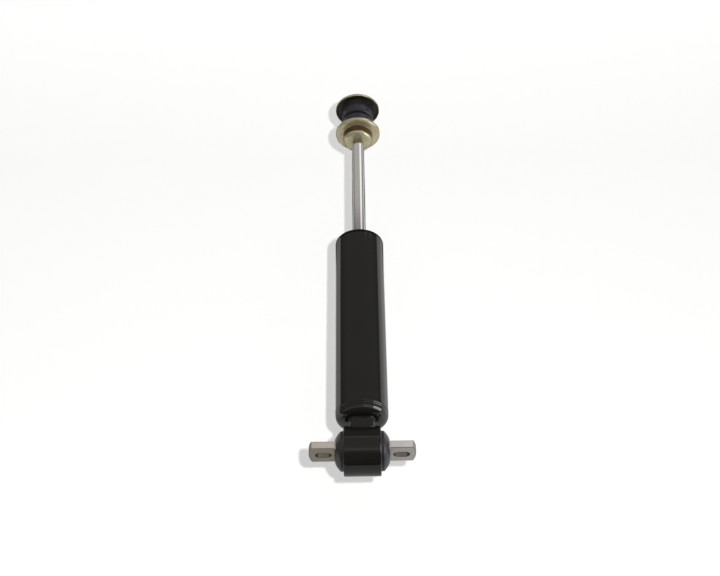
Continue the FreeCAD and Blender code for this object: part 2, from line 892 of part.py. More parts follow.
# Piston: sintered iron, with its ports between the two valve seats
piston = new_body("piston", piston_bottom)
piston_radius = bore_radius - s.piston_land_gap
land = (s.piston_height - s.band_height) / 2
turned(
    piston,
    [
        corner(stem_bore, 0),
        corner(piston_radius, 0),
        corner(piston_radius, land - s.band_end_gap),
        corner(band_floor, land - s.band_end_gap),
        corner(band_floor, s.piston_height - land + s.band_end_gap),
        corner(piston_radius, s.piston_height - land + s.band_end_gap),
        corner(piston_radius, s.piston_height),
        corner(stem_bore, s.piston_height),
    ],
)
drilled(piston, "inner_port", inner_port_ring, s.piston_height)
drilled(piston, "outer_port", outer_port_ring, s.piston_height, half_pitch)
pieces.append(piston)

# Piston band: the slippery ring that seals the piston to the bore
band_outside = s.bore - 2 * s.running_gap
ring("piston_band", piston_bottom + land, 2 * band_inside, band_outside, s.band_height)

# Piston valves: rebound discs and their backing washer below, the intake disc above
for step in range(DISC_COUNT):
    ring(
        f"rebound_disc_{step + 1}",
        piston_bottom - (step + 1) * s.disc_thickness,
        2 * stem_bore,
        2 * disc_radius - step * s.disc_step,
        s.disc_thickness,
    )
ring("backing_washer", nut_top, 2 * stem_bore, s.backing_diameter, s.backing_thickness)
intake_disc("piston_intake_disc", piston_top, 2 * (stem_radius + s.running_gap))
slit_spring("piston_spring", piston_spring_bottom, 2 * stem_bore)
ring("spring_plate", plate_bottom, 2 * stem_bore, s.plate_diameter, s.plate_thickness)


def hex_nut(name, height, flats, thickness):
    """A hexagon nut on the stem, with its outer corners turned down at both ends."""
    body = new_body(name, height)
    hex_sketch = new_sketch(body, "hexagon", "XY_Plane")
    draw_outline(hex_sketch, hexagon(flats))
    pushed(body, hex_sketch, thickness)
    corner_radius = flats / math.sqrt(3)
    turned_radius = corner_radius - s.hex_chamfer
    turned_height = s.hex_chamfer / 2
    trim_sketch = new_sketch(body, "trim")
    clear = corner_radius + s.hex_chamfer
    for side in (0, 1):
        face = side * thickness
        inward = turned_height if side == 0 else -turned_height
        draw_outline(
            trim_sketch,
            [corner(turned_radius, face), corner(clear, face), corner(clear, face + 2 * inward)],
        )
    trim = body.newObject("PartDesign::Groove", f"{name}_trim_groove")
    trim.Profile = trim_sketch
    trim.ReferenceAxis = (trim_sketch, ["V_Axis"])
    trim.Angle = 360
    hole_sketch = new_sketch(body, "hole", "XY_Plane")
    draw_circle(hole_sketch, 0, 0, 2 * stem_bore)
    pocketed(body, hole_sketch, 2 * thickness, reverse=True)
    pieces.append(body)


hex_nut("piston_nut", nut_bottom, s.nut_flats, s.nut_height)

# Rebound stop: a steel ring rolled into the rod's groove, with a nylon bumper on it
stop_bore = 2 * (groove_radius + s.slip_gap)
bumper_radius = bore_radius - s.bumper_gap
stop_radius = bumper_radius - s.stop_inset
ring("rebound_stop", stop_bottom, stop_bore, 2 * stop_radius, s.stop_height)
bumper_bore = s.rod_diameter + 2 * s.slip_gap
ring(
    "rebound_bumper",
    bumper_bottom,
    bumper_bore,
    2 * bumper_radius,
    s.bumper_height,
    edge=s.bumper_edge,
)

# Rod guide: closes the pressure tube, carries the bush and holds the seal in its recess
rod_guide = new_body("rod_guide", guide_bottom)
guide_radius = tube_bore_radius - s.slip_gap
guide_flange_top = s.guide_spigot + s.guide_height
guide_spigot_radius = bore_radius - s.slip_gap
recess_floor = guide_flange_top - s.seal_height
guide_bush_outside = rod_radius + s.running_gap + s.guide_bush_wall
guide_bush_bottom = recess_floor - s.guide_bush_length
guide_throat = rod_radius + s.guide_rod_gap
o_ring_half = s.o_ring_section / 2
o_ring_height = guide_flange_top - s.o_ring_section
o_ring_radius = tube_bore_radius - o_ring_half - s.slip_gap
o_ring_floor = o_ring_radius - o_ring_half - s.slip_gap
o_ring_low = o_ring_height - o_ring_half - s.slip_gap
o_ring_high = o_ring_height + o_ring_half + s.slip_gap
recess_radius = o_ring_floor - s.guide_wall
turned(
    rod_guide,
    [
        corner(guide_throat, 0),
        corner(guide_spigot_radius, 0),
        corner(guide_spigot_radius, s.guide_spigot),
        corner(guide_radius, s.guide_spigot),
        corner(guide_radius, o_ring_low),
        corner(o_ring_floor, o_ring_low),
        corner(o_ring_floor, o_ring_high),
        corner(guide_radius, o_ring_high),
        corner(guide_radius, guide_flange_top),
        corner(recess_radius, guide_flange_top),
        corner(recess_radius, recess_floor),
        corner(guide_bush_outside + s.slip_gap, recess_floor),
        corner(guide_bush_outside + s.slip_gap, guide_bush_bottom),
        corner(guide_throat, guide_bush_bottom),
    ],
)
drain_sketch = new_sketch(rod_guide, "drain", "XY_Plane")
draw_circle(drain_sketch, o_ring_floor - s.guide_wall / 2, 0, s.drain_diameter)
drain = pocketed(rod_guide, drain_sketch, 2 * guide_flange_top, both_ways=True)
repeated(rod_guide, drain, s.drain_count)
pieces.append(rod_guide)
guide_bush_bore = s.rod_diameter + 2 * s.running_gap
guide_bush_base = guide_bottom + guide_bush_bottom
ring("guide_bush", guide_bush_base, guide_bush_bore, 2 * guide_bush_outside, s.guide_bush_length)
guide_o_ring = doc.addObject("Part::Torus", "guide_o_ring")
guide_o_ring.Label = "guide_o_ring"
guide_o_ring.setExpression("Radius1", o_ring_radius.formula)
guide_o_ring.setExpression("Radius2", o_ring_half.formula)
lift_to(guide_o_ring, guide_bottom + o_ring_height)
pieces.append(guide_o_ring)

# Rod seal: rubber, with a lip round the rod that a small spring ring holds in
rod_seal = new_body("rod_seal", guide_bottom + recess_floor)
lip_bore = rod_radius + s.running_gap
wire_radius = s.seal_spring_wire / 2
lip_outside = lip_bore + s.seal_lip
wire_height = s.seal_height - s.seal_spring_wire
seal_radius = recess_radius - s.slip_gap
seal_rim = seal_radius - s.seal_lip
turned(
    rod_seal,
    [
        corner(lip_bore, 0),
        corner(seal_radius, 0),
        corner(seal_radius, s.seal_height),
        corner(seal_rim, s.seal_height),
        corner(seal_rim, s.seal_web),
        corner(lip_outside, s.seal_web),
        corner(lip_outside, s.seal_height),
        corner(lip_bore, s.seal_height),
    ],
)
pieces.append(rod_seal)
seal_spring = doc.addObject("Part::Torus", "seal_spring")
seal_spring.Label = "seal_spring"
seal_spring.setExpression("Radius1", (lip_outside + wire_radius).formula)
seal_spring.setExpression("Radius2", wire_radius.formula)
lift_to(seal_spring, guide_bottom + recess_floor + wire_height)
pieces.append(seal_spring)

# Top cap: the steel disc that the outer tube is rolled over
top_cap = new_body("top_cap", guide_top)
cap_hole_radius = rod_radius + s.top_cap_rod_gap
cap_disc_radius = tube_bore_radius - s.slip_gap
inner_roll = roll - s.tube_wall
cap_disc_flat = cap_disc_radius - inner_roll
cap_disc_knuckle = s.top_cap_thickness - inner_roll
rise_outside = lip_radius - s.top_cap_rise
rise_inside = rise_outside - s.top_cap_rise
turned(
    top_cap,
    [
        corner(cap_hole_radius, 0),
        corner(cap_disc_radius, 0),
        corner(cap_disc_radius, cap_disc_knuckle),
        bend(cap_disc_flat, s.top_cap_thickness, cap_disc_flat, cap_disc_knuckle),
        corner(rise_outside, s.top_cap_thickness),
        corner(rise_inside, s.top_cap_thickness + s.top_cap_rise),
        corner(cap_hole_radius, s.top_cap_thickness + s.top_cap_rise),
    ],
)
pieces.append(top_cap)

# Lower washer: a pressed hat whose hub stands on the rod's shoulder
lower_washer = new_body("lower_washer", washer_seat)
sheet_gauge = s.washer_sheet
hub = s.hub_diameter / 2
hub_r = s.hub_corner
brim = s.hub_depth
washer_radius = s.washer_diameter / 2
brim_bend = s.washer_bend
lip_top = brim + brim_bend + s.washer_lip
turned(
    lower_washer,
    [
        corner(stem_hole / 2, 0),
        corner(hub - hub_r, 0),
        bend(hub, hub_r, hub - hub_r, hub_r),
        corner(hub, brim),
        corner(washer_radius - brim_bend, brim),
        bend(washer_radius, brim + brim_bend, washer_radius - brim_bend, brim + brim_bend),
        corner(washer_radius, lip_top),
        corner(washer_radius - sheet_gauge, lip_top),
        corner(washer_radius - sheet_gauge, brim + sheet_gauge),
        corner(hub - sheet_gauge, brim + sheet_gauge),
        corner(hub - sheet_gauge, hub_r),
        bend(hub - hub_r, sheet_gauge, hub - hub_r, hub_r, clockwise=True),
        corner(stem_hole / 2, sheet_gauge),
    ],
)
pieces.append(lower_washer)

# Lower bush: rubber, with a spigot in the washer's hub and a neck for the frame's hole
lower_bush = new_body("lower_bush", washer_seat + sheet_gauge)
spigot = hub - sheet_gauge - s.slip_gap
edge = s.bush_edge
lower_bush_radius = s.bush_diameter / 2
body_bottom = s.hub_depth
body_top = body_bottom + s.lower_bush_height
neck_radius = s.frame_hole / 2
turned(
    lower_bush,
    [
        corner(stem_hole / 2, 0),
        corner(spigot - hub_r, 0),
        corner(spigot, hub_r),
        corner(spigot, body_bottom),
        corner(lower_bush_radius, body_bottom),
        corner(lower_bush_radius, body_top - edge),
        bend(lower_bush_radius - edge, body_top, lower_bush_radius - edge, body_top - edge),
        corner(neck_radius, body_top),
        corner(neck_radius, body_top + s.frame_neck),
        corner(stem_hole / 2, body_top + s.frame_neck),
    ],
)
pieces.append(lower_bush)

# Upper bush: the other half of the rubber mount, hollow for the lower one's neck
upper_bush = new_body("upper_bush", upper_bush_bottom)
upper_bush_radius = s.upper_bush_diameter / 2
socket = neck_radius + s.slip_gap
socket_depth = s.frame_neck - s.bush_parting + s.rest_gap
turned(
    upper_bush,
    [
        corner(socket, 0),
        corner(upper_bush_radius - edge, 0),
        bend(upper_bush_radius, edge, upper_bush_radius - edge, edge),
        corner(upper_bush_radius, s.upper_bush_height),
        corner(stem_hole / 2, s.upper_bush_height),
        corner(stem_hole / 2, socket_depth),
        corner(socket, socket_depth),
    ],
)
pieces.append(upper_bush)

# Upper washer: a flat cup washer, its lip turned down over the bush
upper_washer = new_body("upper_washer", upper_washer_bottom)
lip_bottom = sheet_gauge - brim_bend - s.washer_lip
bend_start = washer_radius - brim_bend
bend_foot = sheet_gauge - brim_bend
turned(
    upper_washer,
    [
        corner(stem_hole / 2, 0),
        corner(washer_radius - sheet_gauge, 0),
        corner(washer_radius - sheet_gauge, lip_bottom),
        corner(washer_radius, lip_bottom),
        corner(washer_radius, bend_foot),
        bend(bend_start, sheet_gauge, bend_start, bend_foot),
        corner(stem_hole / 2, sheet_gauge),
    ],
)
pieces.append(upper_washer)

# Top nut: clamps the washers, the two bushes and the frame between them
hex_nut("top_nut", upper_nut_bottom, s.top_nut_flats, s.top_nut_height)

# Write each piece to its own file
doc.recompute()
for item in doc.Objects:
    if "Invalid" in item.State or "Error" in item.State:
        raise ValueError(f"{item.Label} failed: {item.State}")
os.makedirs("parts", exist_ok=True)
for piece in pieces:
    if piece.Shape.isNull() or not piece.Shape.isValid():
        raise ValueError(f"{piece.Label} has no valid shape")
for piece in pieces:
    piece.Shape.exportStep(os.path.join("parts", piece.Label + ".step"))
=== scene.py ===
import math

import bmesh
import bpy
from mathutils import Matrix, Vector


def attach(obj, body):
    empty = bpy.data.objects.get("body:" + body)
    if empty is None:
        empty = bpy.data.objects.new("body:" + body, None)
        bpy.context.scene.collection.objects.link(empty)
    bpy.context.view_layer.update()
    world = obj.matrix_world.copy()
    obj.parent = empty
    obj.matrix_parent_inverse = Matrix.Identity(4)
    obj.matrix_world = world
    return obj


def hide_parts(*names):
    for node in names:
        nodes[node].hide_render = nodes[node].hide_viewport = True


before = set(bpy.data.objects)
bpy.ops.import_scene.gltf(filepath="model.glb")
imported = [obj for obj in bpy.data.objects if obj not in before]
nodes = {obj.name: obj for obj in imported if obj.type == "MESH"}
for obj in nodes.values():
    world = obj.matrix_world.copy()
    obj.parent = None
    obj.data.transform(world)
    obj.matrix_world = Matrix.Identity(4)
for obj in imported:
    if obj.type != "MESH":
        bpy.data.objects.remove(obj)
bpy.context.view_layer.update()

# Bar pin
# A steel bar, forged flat at both ends and slotted there for the two bolts that hold the
# shock absorber under the control arm. Its round middle is moulded into the rubber bush.
MM = 0.001
ALONG_X = Vector((1, 0, 0))
ALONG_Z = Vector((0, 0, 1))
TIGHT = 1e-6


def place(tree, kind, sockets=None, **settings):
    """Adds a node: outputs given for its sockets are linked, other values are set."""
    node = tree.nodes.new(kind)
    for setting, value in settings.items():
        setattr(node, setting, value)
    for socket, value in (sockets or {}).items():
        if isinstance(value, bpy.types.NodeSocket):
            tree.links.new(value, node.inputs[socket])
        else:
            node.inputs[socket].default_value = value
    return node


def open_effect(name, inputs, outputs):
    """Starts a node group with number and colour sockets, and gives its two end nodes."""
    group = bpy.data.node_groups.new(name, "ShaderNodeTree")
    for label, value in inputs.items():
        kind = "NodeSocketFloat" if isinstance(value, (int, float)) else "NodeSocketColor"
        socket = group.interface.new_socket(label, in_out="INPUT", socket_type=kind)
        socket.default_value = value
    for label, kind in outputs.items():
        group.interface.new_socket(label, in_out="OUTPUT", socket_type=kind)
    return group, group.nodes.new("NodeGroupInput"), group.nodes.new("NodeGroupOutput")


def ranged(tree, value, low, high, first=0.0, last=1.0):
    """Turns a value that lies between two limits into one between two others."""
    sockets = {"Value": value, "From Min": low, "From Max": high, "To Min": first, "To Max": last}
    return place(tree, "ShaderNodeMapRange", sockets).outputs["Result"]


# Grain: a fine uneven skin, as height for a bump and as roughness between two values
GRAIN_LIMITS = (0.3, 0.7)
grain, grain_in, grain_out = open_effect(
    "surface_grain",
    {"Scale": 1500.0, "Smooth": 0.3, "Rough": 0.5},
    {"Height": "NodeSocketFloat", "Roughness": "NodeSocketFloat"},
)
grain_place = place(grain, "ShaderNodeTexCoord")
grain_noise = place(
    grain,
    "ShaderNodeTexNoise",
    {"Vector": grain_place.outputs["Object"], "Scale": grain_in.outputs["Scale"], "Detail": 5.0},
)
smooth, rough = grain_in.outputs["Smooth"], grain_in.outputs["Rough"]
grain_range = ranged(grain, grain_noise.outputs["Fac"], *GRAIN_LIMITS, smooth, rough)
grain.links.new(grain_noise.outputs["Fac"], grain_out.inputs["Height"])
grain.links.new(grain_range, grain_out.inputs["Roughness"])


def reckoned(tree, operation, *values):
    """Adds a sum, product or the like of numbers and outputs, and gives its result."""
    node = place(tree, "ShaderNodeMath", dict(enumerate(values)), operation=operation)
    return node.outputs["Value"]


def mixed(tree, share, first, second):
    """Mixes two colours, by the share of the second."""
    sockets = {"Factor": share, "A": first, "B": second}
    return place(tree, "ShaderNodeMix", sockets, data_type="RGBA").outputs["Result"]


# Blotches: wide soft patches that turn one colour into another, as oil film and age do
BLOTCH_LIMITS = (0.35, 0.65)
blotches, blotches_in, blotches_out = open_effect(
    "soft_blotches",
    {"Scale": 60.0, "Share": 0.5, "Main": (0.5, 0.5, 0.5, 1.0), "Patch": (0.3, 0.3, 0.3, 1.0)},
    {"Color": "NodeSocketColor"},
)
blotches_place = place(blotches, "ShaderNodeTexCoord")
blotches_noise = place(
    blotches,
    "ShaderNodeTexNoise",
    {
        "Vector": blotches_place.outputs["Object"],
        "Scale": blotches_in.outputs["Scale"],
        "Detail": 4.0,
        "Roughness": 0.6,
    },
)
blotches_spread = ranged(blotches, blotches_noise.outputs["Fac"], *BLOTCH_LIMITS)
blotches_share = reckoned(blotches, "MULTIPLY", blotches_spread, blotches_in.outputs["Share"])
blotches_mix = mixed(
    blotches, blotches_share, blotches_in.outputs["Main"], blotches_in.outputs["Patch"]
)
blotches.links.new(blotches_mix, blotches_out.inputs["Color"])

COAT_ROUGHNESS = 0.03
SHARP_ANGLE = 38


def finish(name, metallic=0.0, coat=0.0, specular=0.5):
    """Starts a material, and gives it with its node tree and its shader."""
    material = bpy.data.materials.new(name)
    material.use_nodes = True
    tree = material.node_tree
    shader = tree.nodes["Principled BSDF"]
    shader.inputs["Metallic"].default_value = metallic
    shader.inputs["Coat Weight"].default_value = coat
    shader.inputs["Coat Roughness"].default_value = COAT_ROUGHNESS
    shader.inputs["Specular IOR Level"].default_value = specular
    return material, tree, shader


def skin(tree, shader, main, patch, blotch, grained, bump):
    """Colours a material in two shades, blotched by scale and share, with a grain of some
    scale between two roughnesses and a bump of some depth in mm. Gives its colour."""
    scale, share = blotch
    colour = place(
        tree,
        "ShaderNodeGroup",
        {"Scale": scale, "Share": share, "Main": (*main, 1.0), "Patch": (*patch, 1.0)},
        node_tree=blotches,
    )
    fineness, smooth, rough = grained
    surface = place(
        tree,
        "ShaderNodeGroup",
        {"Scale": fineness, "Smooth": smooth, "Rough": rough},
        node_tree=grain,
    )
    relief = place(
        tree, "ShaderNodeBump", {"Height": surface.outputs["Height"], "Distance": bump * MM}
    )
    tree.links.new(colour.outputs["Color"], shader.inputs["Base Color"])
    tree.links.new(surface.outputs["Roughness"], shader.inputs["Roughness"])
    tree.links.new(relief.outputs["Normal"], shader.inputs["Normal"])
    return colour.outputs["Color"]


def coated(name, main, patch, blotch, grained, bump, **looks):
    """Makes a whole material of a finish and a skin."""
    material, tree, shader = finish(name, **looks)
    skin(tree, shader, main, patch, blotch, grained, bump)
    return material


def ready(bm, name, material, body, slot, *stands_for):
    """Makes a finished piece of a bmesh, smooth between its edges, and fixes it to its body."""
    bmesh.ops.remove_doubles(bm, verts=bm.verts, dist=TIGHT)
    bmesh.ops.recalc_face_normals(bm, faces=bm.faces)
    mesh = bpy.data.meshes.new(name)
    bm.to_mesh(mesh)
    bm.free()
    mesh.shade_smooth()
    mesh.set_sharp_from_angle(angle=math.radians(SHARP_ANGLE))
    mesh.materials.append(material)
    piece = bpy.data.objects.new(name, mesh)
    bpy.context.scene.collection.objects.link(piece)
    even = piece.modifiers.new("even_shading", "WEIGHTED_NORMAL")
    even.keep_sharp = True
    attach(piece, body)
    if stands_for:
        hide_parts(*stands_for)
    return piece


PIN_DIAMETER = 14.0
PIN_ROUND_HALF = 16.5
PIN_NOSE = 22.5
PIN_NOSE_RADIUS = 2.95
BLADE_WIDTH = 24.0
BLADE_THICKNESS = 6.6
BLADE_ROOT_HALF = 5.6
BLADE_EDGE = 0.7
BAR_HALF = 43.65
BAR_CROWN = 2.2
SLOT_CENTRE = 31.75
SLOT_WIDTH = 8.7
SLOT_LENGTH = 13.5
SLOT_EDGE = 0.35
SLOT_MARGIN = 0.1
CROWN_STEPS = 10
SLOT_STEPS = 12
RIM_TURN = 1.0

# One end is warmer in tone and darker, the darkness painted shade; its lower face has more
# painted shade
WARM_SHADED_STEEL = (0.40, 0.345, 0.29, 1.0)
END_UNDERSIDE_SHADE_STEEL = (0.24, 0.215, 0.155, 1.0)
SHADED_END_REACH = 30.0
SHADED_END_SHARE = 0.75
END_UNDERSIDE_SHADE_SHARE = 0.9
forged_steel, tree, shader = finish("forged_steel", metallic=0.2)
steel_colour = skin(
    tree,
    shader,
    (0.50, 0.48, 0.46),
    (0.40, 0.375, 0.35),
    blotch=(90.0, 0.7),
    grained=(2200.0, 0.4, 0.58),
    bump=0.03,
)
steel_place = place(tree, "ShaderNodeTexCoord")
steel_parts = place(tree, "ShaderNodeSeparateXYZ", {"Vector": steel_place.outputs["Object"]})
shaded_end_share = ranged(
    tree, steel_parts.outputs["X"], SHADED_END_REACH * MM, -SHADED_END_REACH * MM, 0.0, SHADED_END_SHARE
)
underside_shade_share = ranged(
    tree,
    steel_parts.outputs["Z"],
    (BLADE_EDGE - BLADE_THICKNESS / 2) * MM,
    -BLADE_THICKNESS / 2 * MM,
    0.0,
    END_UNDERSIDE_SHADE_SHARE,
)
# Painted shade: the lower face of the darker end is darker and browner still
end_underside_shade_share = reckoned(tree, "MULTIPLY", shaded_end_share, underside_shade_share)
warmer_and_shaded = mixed(tree, shaded_end_share, steel_colour, WARM_SHADED_STEEL)
underside_shaded = mixed(tree, end_underside_shade_share, warmer_and_shaded, END_UNDERSIDE_SHADE_STEEL)
tree.links.new(underside_shaded, shader.inputs["Base Color"])
# The slot walls keep a tan tone of their own, and are darker as painted shade inside the slots
slot_tone_and_shade = coated(
    "slot_tone_and_shade",
    (0.185, 0.158, 0.128),
    (0.125, 0.104, 0.083),
    blotch=(160.0, 0.9),
    grained=(2200.0, 0.5, 0.65),
    bump=0.03,
    metallic=0.2,
)
# Deeper painted shade at the ends and edges of the slots
slot_painted_shade = coated(
    "slot_painted_shade",
    (0.085, 0.072, 0.06),
    (0.055, 0.046, 0.037),
    blotch=(160.0, 0.9),
    grained=(2200.0, 0.5, 0.65),
    bump=0.03,
    metallic=0.2,
)
edge_steel = coated(
    "edge_steel",
    (0.27, 0.255, 0.235),
    (0.20, 0.185, 0.165),
    blotch=(160.0, 0.9),
    grained=(2200.0, 0.45, 0.6),
    bump=0.03,
    metallic=0.2,
)

bm = bmesh.new()
blade_half = BLADE_WIDTH / 2
crown_radius = (blade_half ** 2 + BAR_CROWN ** 2) / (2 * BAR_CROWN)
crown_turn = 2 * math.asin(blade_half / crown_radius)
low = -BLADE_THICKNESS / 2 * MM
crown_foot = bm.verts.new(((BAR_HALF - BAR_CROWN) * MM, -blade_half * MM, low))
crown = bmesh.ops.spin(
    bm,
    geom=[crown_foot],
    cent=((BAR_HALF - crown_radius) * MM, 0, low),
    axis=ALONG_Z,
    angle=crown_turn,
    steps=CROWN_STEPS,
)
crown_head = crown["geom_last"][0]
outline = [
    bm.verts.new((PIN_NOSE * MM, blade_half * MM, low)),
    bm.verts.new((PIN_ROUND_HALF * MM, BLADE_ROOT_HALF * MM, low)),
    bm.verts.new((PIN_ROUND_HALF * MM, -BLADE_ROOT_HALF * MM, low)),
    bm.verts.new((PIN_NOSE * MM, -blade_half * MM, low)),
]
for start, end in zip([crown_head, *outline], [*outline, crown_foot]):
    bm.edges.new((start, end))
slot_half = SLOT_WIDTH / 2
slot_run = SLOT_LENGTH / 2 - slot_half
slot_ends = []
for side in (1, -1):
    middle = (SLOT_CENTRE + side * slot_run) * MM
    foot = bm.verts.new((middle, -side * slot_half * MM, low))
    arc = bmesh.ops.spin(
        bm, geom=[foot], cent=(middle, 0, low), axis=ALONG_Z, angle=math.pi, steps=SLOT_STEPS
    )
    slot_ends.append((foot, arc["geom_last"][0]))
(right_foot, right_head), (left_foot, left_head) = slot_ends
bm.edges.new((right_head, left_foot))
bm.edges.new((left_head, right_foot))
bmesh.ops.triangle_fill(bm, edges=bm.edges, use_beauty=True)
raised = bmesh.ops.extrude_face_region(bm, geom=bm.faces)
lifted = [v for v in raised["geom"] if isinstance(v, bmesh.types.BMVert)]
bmesh.ops.translate(bm, verts=lifted, vec=(0, 0, BLADE_THICKNESS * MM))


def on_rim(edge):
    """True on the edges between a blade's flat faces and its sides."""
    flat = all(abs(abs(v.co.z) - BLADE_THICKNESS / 2 * MM) < TIGHT for v in edge.verts)
    return flat and edge.calc_face_angle(0) > RIM_TURN


def in_slot(point):
    """True at a point in the slot of either blade, or on its wall."""
    along = abs(abs(point.x) - SLOT_CENTRE * MM)
    reach = (SLOT_LENGTH / 2 + SLOT_MARGIN) * MM
    return along < reach and abs(point.y) < (slot_half + SLOT_MARGIN) * MM


def soften(bm, edges, width, segments):
    """Rounds some edges of a piece, to a width in mm."""
    bmesh.ops.bevel(
        bm,
        geom=edges,
        offset=width * MM,
        affect="EDGES",
        segments=segments,
        profile=0.5,
        material=-1,
    )


outer_rims = [e for e in bm.edges if on_rim(e) and not all(in_slot(v.co) for v in e.verts)]
soften(bm, outer_rims, BLADE_EDGE, segments=3)
slot_rims = [e for e in bm.edges if on_rim(e) and all(in_slot(v.co) for v in e.verts)]
soften(bm, slot_rims, SLOT_EDGE, segments=2)
second = bmesh.ops.duplicate(bm, geom=bm.faces)
moved = [v for v in second["geom"] if isinstance(v, bmesh.types.BMVert)]
bmesh.ops.rotate(bm, verts=moved, cent=(0, 0, 0), matrix=Matrix.Rotation(math.pi, 3, "Z"))


def half_section(bm, points, axis, closed=True):
    """Draws a half section for turning: points are (along the axis, from the axis) in mm."""
    if axis == ALONG_X:
        corners = [bm.verts.new((along * MM, 0, out * MM)) for along, out in points]
    else:
        corners = [bm.verts.new((out * MM, 0, along * MM)) for along, out in points]
    ends = corners[1:] + corners[:1] if closed else corners[1:]
    edges = [bm.edges.new(pair) for pair in zip(corners, ends)]
    return corners + edges


def turn(bm, geometry, axis, steps):
    """Turns a half section all the way round the axis, and closes its seam and poles."""
    bmesh.ops.spin(
        bm,
        geom=geometry,
        cent=(0, 0, 0),
        axis=axis,
        angle=2 * math.pi,
        steps=steps,
        use_merge=True,
    )
    bmesh.ops.remove_doubles(bm, verts=bm.verts, dist=TIGHT)


PIN_STEPS = 48
pin_section = [
    (-PIN_NOSE, 0),
    (-PIN_NOSE, PIN_NOSE_RADIUS),
    (-PIN_ROUND_HALF, PIN_DIAMETER / 2),
    (PIN_ROUND_HALF, PIN_DIAMETER / 2),
    (PIN_NOSE, PIN_NOSE_RADIUS),
    (PIN_NOSE, 0),
]
turn(bm, half_section(bm, pin_section, ALONG_X, closed=False), ALONG_X, PIN_STEPS)

# The walls of a slot, with a tan tone of their own and painted shade, its ends and edges with
# deeper painted shade, and the rounded edges of a blade are told apart by how far their faces
# turn from level and from straight across
WALL_TILT = 0.9
SLOT_END_TURN = 0.55
SLOT_EDGE_TILT = 0.1
BLADE_EDGE_TURN = 0.98
for face in bm.faces:
    middle = face.calc_center_median()
    tilt = abs(face.normal.z)
    if in_slot(middle) and tilt < WALL_TILT:
        in_deeper_shade = abs(face.normal.x) > SLOT_END_TURN or tilt > SLOT_EDGE_TILT
        face.material_index = 3 if in_deeper_shade else 1
    elif abs(middle.x) > PIN_NOSE * MM and max(abs(face.normal.y), tilt) < BLADE_EDGE_TURN:
        face.material_index = 2
bar = ready(bm, "forged_bar_pin", forged_steel, "bar", "bare_steel", "bar_pin")
for material in (slot_tone_and_shade, edge_steel, slot_painted_shade):
    bar.data.materials.append(material)

# Eye bush
# Black rubber moulded round the bar pin and pressed into the eye. Outside the eye it swells
# into a crown on each side, with a flat face that the blade of the pin comes out of.
ROUND_STEPS = 112
black_rubber = coated(
    "black_rubber",
    (0.0145, 0.015, 0.018),
    (0.025, 0.026, 0.031),
    blotch=(120.0, 0.8),
    grained=(2600.0, 0.24, 0.4),
    bump=0.03,
    specular=0.4,
)

BUSH_RADIUS = 17.14
BUSH_LAND_RADIUS = 16.3
BUSH_LAND_END = 17.55
BUSH_HALF = 22.2
BUSH_FACE_RADIUS = 9.5
BUSH_CROWN_MIDDLE = (5.935, 3.3675)
BUSH_CROWN_STEPS = 7
EYE_HALF = 15.25


def whole(bm):
    """All corners, edges and faces of a piece."""
    return bm.verts[:] + bm.edges[:] + bm.faces[:]


bm = bmesh.new()
middle_x, middle_z = BUSH_CROWN_MIDDLE
face_rim = bm.verts.new((BUSH_HALF * MM, 0, BUSH_FACE_RADIUS * MM))
crown_turn = math.atan2(BUSH_LAND_RADIUS - middle_z, BUSH_LAND_END - middle_x) - math.atan2(
    BUSH_FACE_RADIUS - middle_z, BUSH_HALF - middle_x
)
crown = bmesh.ops.spin(
    bm,
    geom=[face_rim],
    cent=(middle_x * MM, 0, middle_z * MM),
    axis=(0, -1, 0),
    angle=crown_turn,
    steps=BUSH_CROWN_STEPS,
)
crown_foot = crown["geom_last"][0]
face_middle = bm.verts.new((BUSH_HALF * MM, 0, 0))
land_corners = [
    bm.verts.new((EYE_HALF * MM, 0, BUSH_LAND_RADIUS * MM)),
    bm.verts.new((EYE_HALF * MM, 0, BUSH_RADIUS * MM)),
    bm.verts.new((0, 0, BUSH_RADIUS * MM)),
]
bm.edges.new((face_middle, face_rim))
for start, end in zip([crown_foot, *land_corners[:-1]], land_corners):
    bm.edges.new((start, end))
turn(bm, whole(bm), ALONG_X, ROUND_STEPS)
bmesh.ops.mirror(bm, geom=whole(bm), merge_dist=TIGHT, axis="X")
ready(bm, "crowned_eye_bush", black_rubber, "bar", "black_rubber", "eye_bush")

# Eye ring
# A short length of steel tube that holds the bush. It is painted black after it is welded
# to the base cap, together with the cap and the outer tube.
gloss_black = coated(
    "gloss_black_paint",
    (0.0072, 0.0069, 0.0062),
    (0.009, 0.0086, 0.008),
    blotch=(25.0, 0.6),
    grained=(700.0, 0.5, 0.6),
    bump=0.002,
    coat=1.0,
    specular=0.0,
)
CIRCLE_MARGIN = 20 * TIGHT


def ring_edges(bm, axis, along, out):
    """The edges of a turned piece that lie on one circle, given in mm."""
    found = []
    for edge in bm.edges:
        places = []
        for vertex in edge.verts:
            run = vertex.co.dot(axis)
            places.append((run, (vertex.co - run * axis).length))
        on_circle = all(
            abs(run - along * MM) < CIRCLE_MARGIN and abs(rise - out * MM) < CIRCLE_MARGIN
            for run, rise in places
        )
        if on_circle:
            found.append(edge)
    return found


def round_off(bm, axis, along, out, radius, segments=4):
    """Rounds the corner of a turned piece that lies on one circle, all in mm."""
    soften(bm, ring_edges(bm, axis, along, out), radius, segments)


EYE_RADIUS = 20.3
EYE_BORE_RADIUS = 17.2
EYE_EDGE = 1.0
EYE_INNER_EDGE = 0.3
bm = bmesh.new()
eye_section = [
    (-EYE_HALF, EYE_BORE_RADIUS),
    (-EYE_HALF, EYE_RADIUS),
    (EYE_HALF, EYE_RADIUS),
    (EYE_HALF, EYE_BORE_RADIUS),
]
turn(bm, half_section(bm, eye_section, ALONG_X), ALONG_X, ROUND_STEPS)
for face in (-EYE_HALF, EYE_HALF):
    round_off(bm, ALONG_X, face, EYE_RADIUS, EYE_EDGE)
    round_off(bm, ALONG_X, face, EYE_BORE_RADIUS, EYE_INNER_EDGE, segments=2)
ready(bm, "painted_eye_ring", gloss_black, "barrel", "black_paint", "eye_ring")

